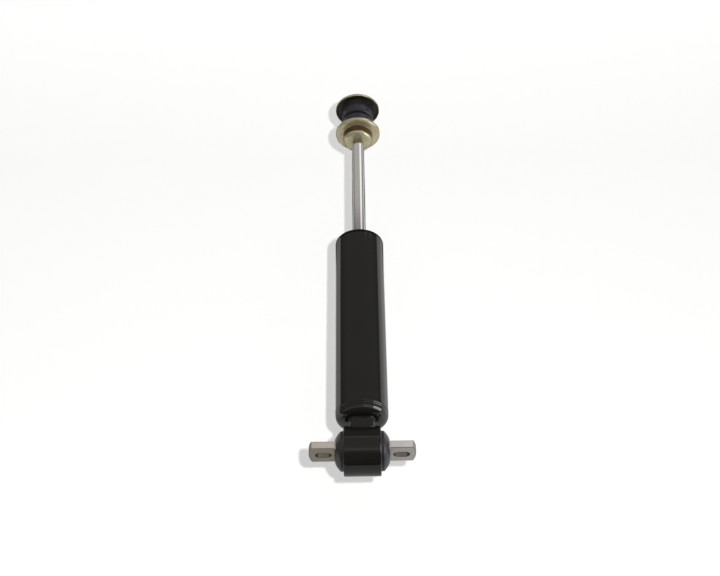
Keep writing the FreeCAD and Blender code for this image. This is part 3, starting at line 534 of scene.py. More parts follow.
# Base cap
# A steel cup pressed to shape and welded into the lower end of the outer tube. The short
# neck below it is welded on, and its end is cut hollow so that it sits on the eye ring.
CAP_BOTTOM = 24.8
CAP_CORNER = 7.6
CAP_INNER_CORNER = 5.0
TUBE_RADIUS = 22.225
GROOVE_HEIGHT = 32.9
GROOVE_DEPTH = 0.4
GROOVE_LOW_EDGE = 0.05
GROOVE_HIGH_EDGE = 0.45
SEAM_HEIGHT = 34.7
SPIGOT_RADIUS = 20.575
SPIGOT_BORE_RADIUS = 18.775
SPIGOT_TOP = 39.7
CAP_FLOOR = 27.3
bm = bmesh.new()
cap_section = [
    (CAP_BOTTOM, 0),
    (CAP_BOTTOM, TUBE_RADIUS),
    (GROOVE_HEIGHT - GROOVE_DEPTH, TUBE_RADIUS),
    (GROOVE_HEIGHT, TUBE_RADIUS - GROOVE_DEPTH),
    (GROOVE_HEIGHT + GROOVE_DEPTH, TUBE_RADIUS),
    (SEAM_HEIGHT - GROOVE_DEPTH, TUBE_RADIUS),
    (SEAM_HEIGHT, TUBE_RADIUS - GROOVE_DEPTH),
    (SEAM_HEIGHT, SPIGOT_RADIUS),
    (SPIGOT_TOP, SPIGOT_RADIUS),
    (SPIGOT_TOP, SPIGOT_BORE_RADIUS),
    (CAP_FLOOR, SPIGOT_BORE_RADIUS),
    (CAP_FLOOR, 0),
]
turn(bm, half_section(bm, cap_section, ALONG_Z, closed=False), ALONG_Z, ROUND_STEPS)
round_off(bm, ALONG_Z, CAP_BOTTOM, TUBE_RADIUS, CAP_CORNER, segments=10)
round_off(bm, ALONG_Z, CAP_FLOOR, SPIGOT_BORE_RADIUS, CAP_INNER_CORNER, segments=5)
round_off(bm, ALONG_Z, GROOVE_HEIGHT - GROOVE_DEPTH, TUBE_RADIUS, GROOVE_LOW_EDGE, segments=2)
round_off(bm, ALONG_Z, GROOVE_HEIGHT + GROOVE_DEPTH, TUBE_RADIUS, GROOVE_HIGH_EDGE)
round_off(bm, ALONG_Z, SEAM_HEIGHT - GROOVE_DEPTH, TUBE_RADIUS, GROOVE_HIGH_EDGE)
ready(bm, "pressed_base_cap", gloss_black, "barrel", "black_paint", "base_cap")

NECK_WIDTH = 20.8
NECK_DEPTH = 27.0
NECK_CORNER = 5.0
NECK_TOP = 25.6
NECK_LOW = 14.0
NECK_CUTS = 14
SADDLE_REACH = 1.0
bm = bmesh.new()
bmesh.ops.create_cube(bm, size=1)
neck_height = NECK_TOP - NECK_LOW
bmesh.ops.scale(
    bm, verts=bm.verts, vec=Vector((NECK_WIDTH, NECK_DEPTH, neck_height)) * MM
)
bmesh.ops.translate(bm, verts=bm.verts, vec=(0, 0, (NECK_TOP + NECK_LOW) / 2 * MM))
uprights = [e for e in bm.edges if abs((e.verts[0].co - e.verts[1].co).z) > MM]
soften(bm, uprights, NECK_CORNER, segments=7)
for cut in range(1, NECK_CUTS):
    across = (cut / NECK_CUTS - 0.5) * NECK_DEPTH * MM
    bmesh.ops.bisect_plane(bm, geom=whole(bm), plane_co=(0, across, 0), plane_no=(0, 1, 0))
saddle = [v for v in bm.verts if v.co.z < (NECK_LOW + SADDLE_REACH) * MM]
for vertex in saddle:
    vertex.co.z = math.sqrt((EYE_RADIUS * MM) ** 2 - vertex.co.y ** 2)
ready(bm, "saddle_neck", gloss_black, "barrel", "black_paint")

# Weld beads
# Two runs of weld join the neck to the eye ring and to the cap, laid in short overlapping
# pools before the painting, so that they show as a rippled roll under the gloss.
BEAD_RADIUS = 0.8
CAP_BEAD_RADIUS = 0.48
BEAD_PITCH = 1.9
BEAD_RIPPLE = 0.08
BEAD_SIDES = 10
BEAD_POINTS = 240
BEAD_RISE = 0.1


def weld_bead(name, path, radius):
    """A closed run of weld along some points, thick and thin by turns as the pools were laid."""
    line = bpy.data.curves.new(name + "_line", "CURVE")
    line.dimensions = "3D"
    line.bevel_depth = radius * MM
    line.bevel_resolution = BEAD_SIDES // 2 - 2
    spline = line.splines.new("POLY")
    spline.points.add(len(path) - 1)
    spline.use_cyclic_u = True
    walked = 0.0
    before = path[0]
    for point, place_now in zip(spline.points, path):
        walked += (place_now - before).length
        before = place_now
        point.co = (*place_now, 1.0)
        ripple = abs(math.sin(math.pi * walked / (BEAD_PITCH * MM)))
        point.radius = 1 - BEAD_RIPPLE * ripple / radius
    carrier = bpy.data.objects.new(name + "_line", line)
    bpy.context.scene.collection.objects.link(carrier)
    mesh = bpy.data.meshes.new_from_object(carrier)
    bpy.data.objects.remove(carrier)
    bead = bmesh.new()
    bead.from_mesh(mesh)
    return ready(bead, name, gloss_black, "barrel", "black_paint")


def neck_outline(steps, grow):
    """Points round the neck's section, in metres, grown outwards by some mm."""
    half_x = NECK_WIDTH / 2 - NECK_CORNER
    half_y = NECK_DEPTH / 2 - NECK_CORNER
    radius = NECK_CORNER + grow
    corner_run = math.pi / 2 * radius
    way_round = 4 * (half_x + half_y) + 4 * corner_run
    points = []
    for step in range(steps):
        run = way_round * step / steps
        for quarter in range(4):
            along, across = (half_x, half_y) if quarter % 2 == 0 else (half_y, half_x)
            straight = 2 * along
            if run < straight:
                local = Vector((-along + run, -across - radius, 0))
                break
            run -= straight
            if run < corner_run:
                turned = run / radius
                local = Vector(
                    (along + radius * math.sin(turned), -across - radius * math.cos(turned), 0)
                )
                break
            run -= corner_run
        local.rotate(Matrix.Rotation(quarter * math.pi / 2, 3, "Z"))
        points.append(local * MM)
    return points


eye_weld = neck_outline(BEAD_POINTS, BEAD_RISE)
for point in eye_weld:
    point.z = math.sqrt(((EYE_RADIUS + BEAD_RISE) * MM) ** 2 - point.y ** 2)
weld_bead("eye_weld", eye_weld, BEAD_RADIUS)
cap_weld = neck_outline(BEAD_POINTS, 0.0)
for point in cap_weld:
    point.z = (CAP_BOTTOM - BEAD_RISE) * MM
weld_bead("cap_weld", cap_weld, CAP_BEAD_RADIUS)

# Foot valve
# The valve at the bottom of the pressure tube: a sintered body on slotted legs, three thin
# steel discs under it, a check disc with its slit spring above, and one rivet through all.
sintered_iron = coated(
    "sintered_iron",
    (0.20, 0.195, 0.19),
    (0.13, 0.125, 0.12),
    blotch=(300.0, 0.8),
    grained=(5200.0, 0.42, 0.62),
    bump=0.05,
    metallic=1.0,
)
spring_steel = coated(
    "spring_steel",
    (0.46, 0.47, 0.50),
    (0.38, 0.37, 0.36),
    blotch=(220.0, 0.6),
    grained=(3000.0, 0.16, 0.26),
    bump=0.004,
    metallic=1.0,
)
bare_steel = coated(
    "bare_steel",
    (0.42, 0.41, 0.40),
    (0.32, 0.31, 0.29),
    blotch=(200.0, 0.7),
    grained=(3600.0, 0.28, 0.42),
    bump=0.012,
    metallic=1.0,
)


def coat_node(material, *names):
    """Gives CAD nodes a new material in place of the plain one that they carry."""
    for name in names:
        node = nodes[name]
        if not node.material_slots:
            node.data.materials.append(material)
        for material_slot in node.material_slots:
            material_slot.material = material


coat_node(sintered_iron, "base_valve_body")
coat_node(
    spring_steel,
    "compression_disc_1",
    "compression_disc_2",
    "compression_disc_3",
    "base_intake_disc",
    "base_spring",
)
coat_node(bare_steel, "valve_rivet")

# Pressure tube
# Drawn steel tube, honed inside in a cross pattern that holds oil for the piston's band.
honed_steel = coated(
    "honed_steel",
    (0.52, 0.52, 0.53),
    (0.44, 0.43, 0.42),
    blotch=(60.0, 0.6),
    grained=(2400.0, 0.2, 0.32),
    bump=0.006,
    metallic=1.0,
)
coat_node(honed_steel, "pressure_tube")

# Piston
# Sintered iron with two rings of ports, a slippery band round it, and steel discs on both
# faces that let the oil through at a set pressure. A nut clamps the stack to the rod.
band_plastic = coated(
    "band_plastic",
    (0.075, 0.055, 0.035),
    (0.05, 0.04, 0.03),
    blotch=(400.0, 0.6),
    grained=(3000.0, 0.35, 0.5),
    bump=0.02,
    specular=0.4,
)
coat_node(sintered_iron, "piston")
coat_node(band_plastic, "piston_band")
coat_node(
    spring_steel,
    "rebound_disc_1",
    "rebound_disc_2",
    "rebound_disc_3",
    "piston_intake_disc",
    "piston_spring",
)
coat_node(bare_steel, "backing_washer", "piston_nut", "spring_plate")

# Rebound stop
# A steel ring rolled into a groove of the rod, with a nylon ring on it that meets the rod
# guide softly when the shock absorber is pulled right out.
nylon = coated(
    "natural_nylon",
    (0.68, 0.62, 0.48),
    (0.60, 0.52, 0.38),
    blotch=(150.0, 0.5),
    grained=(1800.0, 0.35, 0.5),
    bump=0.01,
    specular=0.4,
)
coat_node(bare_steel, "rebound_stop")
coat_node(nylon, "rebound_bumper")

# Piston rod
# One ground and chromed steel bar. Its upper end is turned down to a threaded stem for the
# mount, with two flats at the tip for a spanner.
chrome = coated(
    "hard_chrome",
    (0.64, 0.635, 0.63),
    (0.58, 0.575, 0.56),
    blotch=(30.0, 0.6),
    grained=(4200.0, 0.05, 0.09),
    bump=0.0006,
    metallic=1.0,
)

ROD_RADIUS = 6.2
ROD_END = 155.5
ROD_SHOULDER = 180.0
STOP_LOW = 183.1
STOP_HIGH = 187.1
STOP_GROOVE_RADIUS = 5.4
STEM_RADIUS = 5.0
STEM_FOOT = 344.1
STEM_CHAMFER = 1.0
ROD_CHAMFER = 0.5
THREAD_LOW = 389.2
THREAD_HIGH = 402.2
THREAD_PITCH = 1.5
THREAD_ROOT = 4.2
THREAD_FLANK = 0.63
THREAD_CREST = 0.1
THREAD_PLAY = 0.03
THREAD_SINK = 0.1
THREAD_STEPS = 36
THREAD_START = 0.5
THREAD_END = 0.3
THREAD_SHOULDER = 0.4
FLATS_LOW = 402.7
FLATS_ACROSS = 7.0
STEM_TOP = 406.7
TIP_INSET = 0.1
ROD_STEPS = 72
bm = bmesh.new()
rod_section = [
    (ROD_END, 0),
    (ROD_END, STEM_RADIUS - STEM_CHAMFER),
    (ROD_END + STEM_CHAMFER, STEM_RADIUS),
    (ROD_SHOULDER, STEM_RADIUS),
    (ROD_SHOULDER, ROD_RADIUS),
    (STOP_LOW, ROD_RADIUS),
    (STOP_LOW, STOP_GROOVE_RADIUS),
    (STOP_HIGH, STOP_GROOVE_RADIUS),
    (STOP_HIGH, ROD_RADIUS),
    (STEM_FOOT - ROD_CHAMFER, ROD_RADIUS),
    (STEM_FOOT, ROD_RADIUS - ROD_CHAMFER),
    (STEM_FOOT, STEM_RADIUS),
    (THREAD_LOW - THREAD_START, STEM_RADIUS),
    (THREAD_LOW + THREAD_END, THREAD_ROOT),
    (THREAD_HIGH, THREAD_ROOT),
    (FLATS_LOW, THREAD_ROOT + THREAD_SHOULDER),
    (FLATS_LOW, 0),
]
turn(bm, half_section(bm, rod_section, ALONG_Z, closed=False), ALONG_Z, ROD_STEPS)
ready(bm, "chromed_rod", chrome, "rod", "chrome_rod", "piston_rod")

bm = bmesh.new()
tip_section = [
    (FLATS_LOW - TIP_INSET, 0),
    (FLATS_LOW - TIP_INSET, STEM_RADIUS - TIP_INSET),
    (STEM_TOP - STEM_CHAMFER, STEM_RADIUS - TIP_INSET),
    (STEM_TOP, STEM_RADIUS - STEM_CHAMFER),
    (STEM_TOP, 0),
]
turn(bm, half_section(bm, tip_section, ALONG_Z, closed=False), ALONG_Z, ROD_STEPS)
for side in (-1, 1):
    cut = bmesh.ops.bisect_plane(
        bm,
        geom=whole(bm),
        plane_co=(0, side * FLATS_ACROSS / 2 * MM, 0),
        plane_no=(0, side, 0),
        clear_outer=True,
    )
    rim = [e for e in cut["geom_cut"] if isinstance(e, bmesh.types.BMEdge)]
    bmesh.ops.contextual_create(bm, geom=rim)
ready(bm, "stem_tip", bare_steel, "rod", "bare_steel")

bm = bmesh.new()
thread_root = THREAD_ROOT - THREAD_SINK
thread_crest = STEM_RADIUS - THREAD_PLAY
ridge = [
    bm.verts.new((out * MM, 0, (THREAD_LOW + up) * MM))
    for out, up in (
        (thread_root, -THREAD_FLANK),
        (thread_crest, -THREAD_CREST),
        (thread_crest, THREAD_CREST),
        (thread_root, THREAD_FLANK),
    )
]
start_face = bm.faces.new(ridge)
turns = (THREAD_HIGH - THREAD_LOW) / THREAD_PITCH
thread_steps = round(turns * THREAD_STEPS)
climb = (THREAD_HIGH - THREAD_LOW) / thread_steps * MM
bmesh.ops.spin(
    bm,
    geom=[start_face],
    cent=(0, 0, 0),
    axis=ALONG_Z,
    dvec=(0, 0, climb),
    angle=turns * 2 * math.pi,
    steps=thread_steps,
)
ready(bm, "stem_thread", bare_steel, "rod", "bare_steel")

# Rod guide
# Sintered iron that closes the pressure tube. It carries a lined bush for the rod, a rubber
# seal with a spring round its lip, and a rubber ring against the outer tube.
bush_bronze = coated(
    "bush_bronze",
    (0.50, 0.34, 0.18),
    (0.36, 0.25, 0.14),
    blotch=(260.0, 0.8),
    grained=(4200.0, 0.3, 0.45),
    bump=0.02,
    metallic=1.0,
)
seal_rubber = coated(
    "seal_rubber",
    (0.022, 0.019, 0.017),
    (0.035, 0.031, 0.028),
    blotch=(260.0, 0.6),
    grained=(4200.0, 0.38, 0.52),
    bump=0.01,
    specular=0.4,
)
coat_node(sintered_iron, "rod_guide")
coat_node(bush_bronze, "guide_bush")
coat_node(seal_rubber, "rod_seal", "guide_o_ring")
coat_node(spring_steel, "seal_spring")

# Outer tube
# Drawn steel tube, painted gloss black, whose upper edge is rolled in over the top cap to
# close the shock absorber.
TUBE_BORE_RADIUS = 20.625
TUBE_TOP = 215.5
TUBE_LIP_RADIUS = 16.825
TUBE_WALL = 1.6
ROLL_RADIUS = 3.2
ROLL_LINE = 4.4
TUBE_STEPS = 160
TUBE_LIP_EDGE = 0.4
SEAM_EDGE = 0.6
ROLL_MARGIN = 0.1
# Darker, less glossy paint that stands in as painted shade on the rolled edge
roll_shade_paint = coated(
    "rolled_edge_shade",
    (0.0014, 0.0013, 0.0012),
    (0.002, 0.002, 0.002),
    blotch=(25.0, 0.6),
    grained=(700.0, 0.5, 0.6),
    bump=0.002,
    coat=0.25,
    specular=0.0,
)


def paint_shade(bm, low, high, inner, outer):
    """Gives the second material, which carries painted shade, to the faces of a turned piece
    between two heights and radii.
    """
    for face in bm.faces:
        middle = face.calc_center_median()
        out = math.hypot(middle.x, middle.y)
        inside = inner * MM < out < outer * MM and low * MM < middle.z < high * MM
        face.material_index = 1 if inside else 0


bm = bmesh.new()
tube_section = [
    (SEAM_HEIGHT, TUBE_BORE_RADIUS),
    (SEAM_HEIGHT, TUBE_RADIUS - GROOVE_DEPTH),
    (SEAM_HEIGHT + GROOVE_DEPTH, TUBE_RADIUS),
    (TUBE_TOP, TUBE_RADIUS),
    (TUBE_TOP, TUBE_LIP_RADIUS),
    (TUBE_TOP - TUBE_WALL, TUBE_LIP_RADIUS),
    (TUBE_TOP - TUBE_WALL, TUBE_BORE_RADIUS),
]
turn(bm, half_section(bm, tube_section, ALONG_Z), ALONG_Z, TUBE_STEPS)
round_off(bm, ALONG_Z, TUBE_TOP, TUBE_RADIUS, ROLL_RADIUS, segments=10)
inner_roll = ROLL_RADIUS - TUBE_WALL
round_off(bm, ALONG_Z, TUBE_TOP - TUBE_WALL, TUBE_BORE_RADIUS, inner_roll, segments=5)
round_off(bm, ALONG_Z, TUBE_TOP, TUBE_LIP_RADIUS, TUBE_LIP_EDGE, segments=3)
round_off(bm, ALONG_Z, SEAM_HEIGHT + GROOVE_DEPTH, TUBE_RADIUS, SEAM_EDGE, segments=5)
roll_low = TUBE_TOP - ROLL_LINE
bmesh.ops.bisect_plane(
    bm, geom=whole(bm), plane_co=(0, 0, roll_low * MM), plane_no=(0, 0, 1)
)
# Painted shade: the roll and a band just under it get a darker paint with less gloss than the
# tube below
paint_shade(bm, roll_low, TUBE_TOP + ROLL_MARGIN, 0, TUBE_RADIUS + ROLL_MARGIN)
tube = ready(bm, "rolled_outer_tube", gloss_black, "barrel", "black_paint", "reserve_tube")
tube.data.materials.append(roll_shade_paint)
coat_node(gloss_black, "top_cap")

# Lower washer
# Sheet steel pressed into a hat: the hub stands on the rod's shoulder and holds the bush's
# spigot, and the brim is turned up at its edge. Zinc plated and yellow passivated.
yellow_zinc = coated(
    "yellow_zinc",
    (0.57, 0.52, 0.36),
    (0.43, 0.38, 0.205),
    blotch=(130.0, 0.9),
    grained=(2600.0, 0.15, 0.25),
    bump=0.008,
    metallic=0.6,
)
# Darker, browner zinc that stands in as painted shade on the side of the hub, under the brim
hub_shade_zinc = coated(
    "hub_shade_zinc",
    (0.10, 0.066, 0.028),
    (0.055, 0.035, 0.012),
    blotch=(160.0, 0.9),
    grained=(2600.0, 0.3, 0.45),
    bump=0.012,
    metallic=0.5,
)
# Darker zinc that stands in as painted shade on the hollow underside of the upper washer
underside_shade_zinc = coated(
    "underside_shade_zinc",
    (0.035, 0.033, 0.016),
    (0.018, 0.016, 0.007),
    blotch=(160.0, 0.9),
    grained=(2600.0, 0.3, 0.45),
    bump=0.012,
    metallic=0.5,
)

SHEET = 1.8
HUB_RADIUS = 14.5
HUB_CORNER = 3.2
BRIM_HEIGHT = 354.3
WASHER_RADIUS = 22.3
WASHER_BEND = 1.6
LIP_TOP = 357.8
STEM_HOLE_RADIUS = 5.15
STEM_HOLE_EDGE = 0.3
BRIM_BEND = 0.7
BRIM_INNER_BEND = 1.4
WASHER_INNER_BEND = 0.5
LIP_EDGE = 0.35
HUB_SHADE_TOP = 354.1
HUB_SHADE_INNER_RADIUS = 14.3
HUB_SHADE_OUTER_RADIUS = 14.8
bm = bmesh.new()
lower_washer_section = [
    (STEM_FOOT, STEM_HOLE_RADIUS),
    (STEM_FOOT, HUB_RADIUS),
    (BRIM_HEIGHT, HUB_RADIUS),
    (BRIM_HEIGHT, WASHER_RADIUS),
    (LIP_TOP, WASHER_RADIUS),
    (LIP_TOP, WASHER_RADIUS - SHEET),
    (BRIM_HEIGHT + SHEET, WASHER_RADIUS - SHEET),
    (BRIM_HEIGHT + SHEET, HUB_RADIUS - SHEET),
    (STEM_FOOT + SHEET, HUB_RADIUS - SHEET),
    (STEM_FOOT + SHEET, STEM_HOLE_RADIUS),
]
turn(bm, half_section(bm, lower_washer_section, ALONG_Z), ALONG_Z, ROUND_STEPS)
round_off(bm, ALONG_Z, STEM_FOOT, HUB_RADIUS, HUB_CORNER, segments=7)
round_off(bm, ALONG_Z, STEM_FOOT + SHEET, HUB_RADIUS - SHEET, HUB_CORNER - SHEET)
round_off(bm, ALONG_Z, BRIM_HEIGHT, HUB_RADIUS, BRIM_BEND, segments=3)
round_off(bm, ALONG_Z, BRIM_HEIGHT + SHEET, HUB_RADIUS - SHEET, BRIM_INNER_BEND)
round_off(bm, ALONG_Z, BRIM_HEIGHT, WASHER_RADIUS, WASHER_BEND, segments=6)
inner_wall = WASHER_RADIUS - SHEET
round_off(bm, ALONG_Z, BRIM_HEIGHT + SHEET, inner_wall, WASHER_INNER_BEND, segments=3)
for out in (WASHER_RADIUS, inner_wall):
    round_off(bm, ALONG_Z, LIP_TOP, out, LIP_EDGE, segments=2)
round_off(bm, ALONG_Z, STEM_FOOT, STEM_HOLE_RADIUS, STEM_HOLE_EDGE, segments=2)
# Painted shade: the side of the hub is darker and browner, up to just under the brim
hub_shade_low = STEM_FOOT + HUB_CORNER
paint_shade(bm, hub_shade_low, HUB_SHADE_TOP, HUB_SHADE_INNER_RADIUS, HUB_SHADE_OUTER_RADIUS)
washer = ready(bm, "pressed_lower_washer", yellow_zinc, "rod", "yellow_zinc", "lower_washer")
washer.data.materials.append(hub_shade_zinc)

# Lower bush
# Black rubber. Its spigot fills the hub of the washer, and its neck centres the mount in
# the hole of the vehicle's frame.
LOWER_BUSH_RADIUS = 15.7
LOWER_BUSH_TOP = 372.5
SPIGOT_BUSH_RADIUS = 12.65
FRAME_NECK_RADIUS = 9.5
FRAME_NECK_TOP = 376.5
MOUNT_EDGE = 2.0
MOUNT_SEAT_EDGE = 0.6
SPIGOT_BUSH_CORNER = 3.0
bm = bmesh.new()
lower_bush_section = [
    (STEM_FOOT + SHEET, STEM_HOLE_RADIUS),
    (STEM_FOOT + SHEET, SPIGOT_BUSH_RADIUS),
    (BRIM_HEIGHT + SHEET, SPIGOT_BUSH_RADIUS),
    (BRIM_HEIGHT + SHEET, LOWER_BUSH_RADIUS),
    (LOWER_BUSH_TOP, LOWER_BUSH_RADIUS),
    (LOWER_BUSH_TOP, FRAME_NECK_RADIUS),
    (FRAME_NECK_TOP, FRAME_NECK_RADIUS),
    (FRAME_NECK_TOP, STEM_HOLE_RADIUS),
]
turn(bm, half_section(bm, lower_bush_section, ALONG_Z), ALONG_Z, ROUND_STEPS)
round_off(bm, ALONG_Z, STEM_FOOT + SHEET, SPIGOT_BUSH_RADIUS, SPIGOT_BUSH_CORNER)
round_off(bm, ALONG_Z, LOWER_BUSH_TOP, LOWER_BUSH_RADIUS, MOUNT_EDGE, segments=6)
round_off(bm, ALONG_Z, BRIM_HEIGHT + SHEET, LOWER_BUSH_RADIUS, MOUNT_SEAT_EDGE, segments=3)
ready(bm, "lower_mount_bush", black_rubber, "rod", "black_rubber", "lower_bush")

# Upper bush
# The other half of the mount, hollow below for the lower bush's neck. The frame's plate is
# clamped between the two, where the dark parting shows.
UPPER_BUSH_RADIUS = 16.2
UPPER_BUSH_LOW = 374.0
UPPER_BUSH_TOP = 390.4
NECK_SOCKET_RADIUS = 9.55
NECK_SOCKET_TOP = 376.8
bm = bmesh.new()
upper_bush_section = [
    (UPPER_BUSH_LOW, NECK_SOCKET_RADIUS),
    (UPPER_BUSH_LOW, UPPER_BUSH_RADIUS),
    (UPPER_BUSH_TOP, UPPER_BUSH_RADIUS),
    (UPPER_BUSH_TOP, STEM_HOLE_RADIUS),
    (NECK_SOCKET_TOP, STEM_HOLE_RADIUS),
    (NECK_SOCKET_TOP, NECK_SOCKET_RADIUS),
]
turn(bm, half_section(bm, upper_bush_section, ALONG_Z), ALONG_Z, ROUND_STEPS)
round_off(bm, ALONG_Z, UPPER_BUSH_LOW, UPPER_BUSH_RADIUS, MOUNT_EDGE, segments=6)
round_off(bm, ALONG_Z, UPPER_BUSH_TOP, UPPER_BUSH_RADIUS, MOUNT_SEAT_EDGE, segments=3)
ready(bm, "upper_mount_bush", black_rubber, "rod", "black_rubber", "upper_bush")

# Upper washer and nut
# A flat cup washer with its edge turned down over the bush, and the nut that clamps the
# whole mount. Both have the same yellow plating as the lower washer.
UPPER_LIP_LOW = 388.7
UNDERSIDE_SHADE_LOW = 388.6
UNDERSIDE_SHADE_TOP = 390.6
UNDERSIDE_SHADE_RADIUS = 22.15
bm = bmesh.new()
upper_washer_section = [
    (UPPER_BUSH_TOP, STEM_HOLE_RADIUS),
    (UPPER_BUSH_TOP, WASHER_RADIUS - SHEET),
    (UPPER_LIP_LOW, WASHER_RADIUS - SHEET),
    (UPPER_LIP_LOW, WASHER_RADIUS),
    (UPPER_BUSH_TOP + SHEET, WASHER_RADIUS),
    (UPPER_BUSH_TOP + SHEET, STEM_HOLE_RADIUS),
]
turn(bm, half_section(bm, upper_washer_section, ALONG_Z), ALONG_Z, ROUND_STEPS)
round_off(bm, ALONG_Z, UPPER_BUSH_TOP + SHEET, WASHER_RADIUS, WASHER_BEND, segments=6)
round_off(bm, ALONG_Z, UPPER_BUSH_TOP, inner_wall, WASHER_INNER_BEND, segments=3)
for out in (WASHER_RADIUS, inner_wall):
    round_off(bm, ALONG_Z, UPPER_LIP_LOW, out, LIP_EDGE, segments=2)
# Painted shade: the hollow side is darker, out to the edge of the lip
paint_shade(bm, UNDERSIDE_SHADE_LOW, UNDERSIDE_SHADE_TOP, STEM_HOLE_RADIUS, UNDERSIDE_SHADE_RADIUS)
washer = ready(bm, "pressed_upper_washer", yellow_zinc, "rod", "yellow_zinc", "upper_washer")
washer.data.materials.append(underside_shade_zinc)
coat_node(yellow_zinc, "top_nut")

# Table
# A plain white table top, stood on edge far enough behind the shock absorber for it to swing
# on its lower bush. From behind it is see-through, so that those views show the object.
TABLE_BEHIND = 135.0
TABLE_HALF = 3000.0
TABLE_LEFT = -575.0
TABLE_COLOUR = (0.8, 0.8, 0.8)
TABLE_LIFT = 0.185
TABLE_TOP_LIFT = 0.275
TABLE_LIFT_LOW = 450.0
TABLE_LIFT_HIGH = 700.0
MIRRORED_LIFT = 0.2
table_white, tree, shader = finish("table_white")
tree.nodes.remove(shader)
way = place(tree, "ShaderNodeLightPath")
table_place = place(tree, "ShaderNodeTexCoord")
table_parts = place(tree, "ShaderNodeSeparateXYZ", {"Vector": table_place.outputs["Object"]})
table_rise = table_parts.outputs["Z"]
mirrored = reckoned(
    tree, "MAXIMUM", way.outputs["Is Glossy Ray"], way.outputs["Is Transmission Ray"]
)
mirrored_lift = reckoned(tree, "MULTIPLY", mirrored, MIRRORED_LIFT)
# The lamp reaches the upper part of the table at a slant, so it is lifted more there
seen_lift = ranged(
    tree, table_rise, TABLE_LIFT_LOW * MM, TABLE_LIFT_HIGH * MM, TABLE_LIFT, TABLE_TOP_LIFT
)
lift = reckoned(tree, "MULTIPLY_ADD", way.outputs["Is Camera Ray"], seen_lift, mirrored_lift)

# What gloss mirrors of the table is dimmer near the object. From the lowest zone up, each
# has levels at distances in mm from the middle line, and fades in between two heights.
MIRROR_HALF = 400.0
MIRROR_LOWEST = [(-367, 1.0), (-134, 0.4), (63, 0.5), (205, 1.0)]
MIRROR_ZONES = [
    (50, 100, [(-367, 1.0), (-134, 0.4), (-90, 0.85), (60, 0.85), (90, 0.6), (205, 1.0)]),
    (290, 320, [(-367, 1.0), (-134, 0.4), (-90, 0.0), (90, 0.0), (134, 0.5), (205, 1.0)]),
    (
        405,
        425,
        [
            (-330, 1.0),
            (-250, 0.15),
            (-110, 0.1),
            (-80, 0.85),
            (80, 0.85),
            (110, 0.1),
            (250, 0.15),
            (330, 1.0),
        ],
    ),
]
aside = ranged(tree, table_parts.outputs["X"], -MIRROR_HALF * MM, MIRROR_HALF * MM)


def set_stops(ramp, stops):
    """Gives a colour ramp its stops, each a position and a colour."""
    for position, _ in stops[1:-1]:
        ramp.elements.new(position)
    for stop, (position, colour) in zip(ramp.elements, stops):
        stop.position = position
        stop.color = (*colour, 1.0)


def levels_across(levels):
    """Turns levels at distances from the middle line of the table into a shade."""
    ramp = place(tree, "ShaderNodeValToRGB", {"Fac": aside})
    stops = [(run / (2 * MIRROR_HALF) + 0.5, (level,) * 3) for run, level in levels]
    set_stops(ramp.color_ramp, stops)
    return ramp.outputs["Color"]


shade = levels_across(MIRROR_LOWEST)
for low, high, levels in MIRROR_ZONES:
    shade = mixed(
        tree, ranged(tree, table_rise, low * MM, high * MM), shade, levels_across(levels)
    )
dimmed = place(tree, "ShaderNodeMix", {0: way.outputs["Is Glossy Ray"], 2: 1.0, 3: shade})
dimming = dimmed.outputs[0]
table_colour = place(
    tree, "ShaderNodeVectorMath", {0: TABLE_COLOUR, "Scale": dimming}, operation="SCALE"
)
lit = place(tree, "ShaderNodeBsdfDiffuse", {"Color": table_colour.outputs["Vector"]})
glow = place(
    tree, "ShaderNodeEmission", {"Strength": reckoned(tree, "MULTIPLY", lift, dimming)}
)
front = place(tree, "ShaderNodeAddShader", {0: lit.outputs["BSDF"], 1: glow.outputs["Emission"]})
back = place(tree, "ShaderNodeBsdfTransparent")
side = place(tree, "ShaderNodeNewGeometry")
surface = place(
    tree,
    "ShaderNodeMixShader",
    {0: side.outputs["Backfacing"], 1: front.outputs["Shader"], 2: back.outputs["BSDF"]},
)
tree.links.new(surface.outputs["Shader"], tree.nodes["Material Output"].inputs["Surface"])

bm = bmesh.new()
bmesh.ops.create_grid(bm, x_segments=1, y_segments=1, size=TABLE_HALF * MM)
upright = Matrix.Rotation(math.pi / 2, 3, "X")
bmesh.ops.rotate(bm, verts=bm.verts, cent=(0, 0, 0), matrix=upright)
bmesh.ops.translate(
    bm, verts=bm.verts, vec=Vector((TABLE_LEFT + TABLE_HALF, TABLE_BEHIND, 0)) * MM
)
mesh = bpy.data.meshes.new("table_top")
bm.to_mesh(mesh)
bm.free()
mesh.materials.append(table_white)
table_top = bpy.data.objects.new("table_top", mesh)
bpy.context.scene.collection.objects.link(table_top)

# Camera
# It looks at the lower end of the shock absorber from below, turned a little on its own
# line of sight, as in the photograph.
CAMERA_PLACE = Vector((0.0, -738.4, -365.1))
CAMERA_RISE = 35.58
CAMERA_ROLL = -0.83
CAMERA_LENS = 50.0
CAMERA_SENSOR = 36.0
camera = bpy.data.cameras.new("camera")
camera.lens = CAMERA_LENS
camera.sensor_width = CAMERA_SENSOR
camera_stand = bpy.data.objects.new("camera", camera)
aim = Matrix.Rotation(math.radians(90 + CAMERA_RISE), 4, "X")
roll = Matrix.Rotation(math.radians(CAMERA_ROLL), 4, "Z")
camera_stand.matrix_world = Matrix.Translation(CAMERA_PLACE * MM) @ aim @ roll
bpy.context.scene.collection.objects.link(camera_stand)
bpy.context.scene.camera = camera_stand
bpy.context.scene.view_settings.view_transform = "Standard"

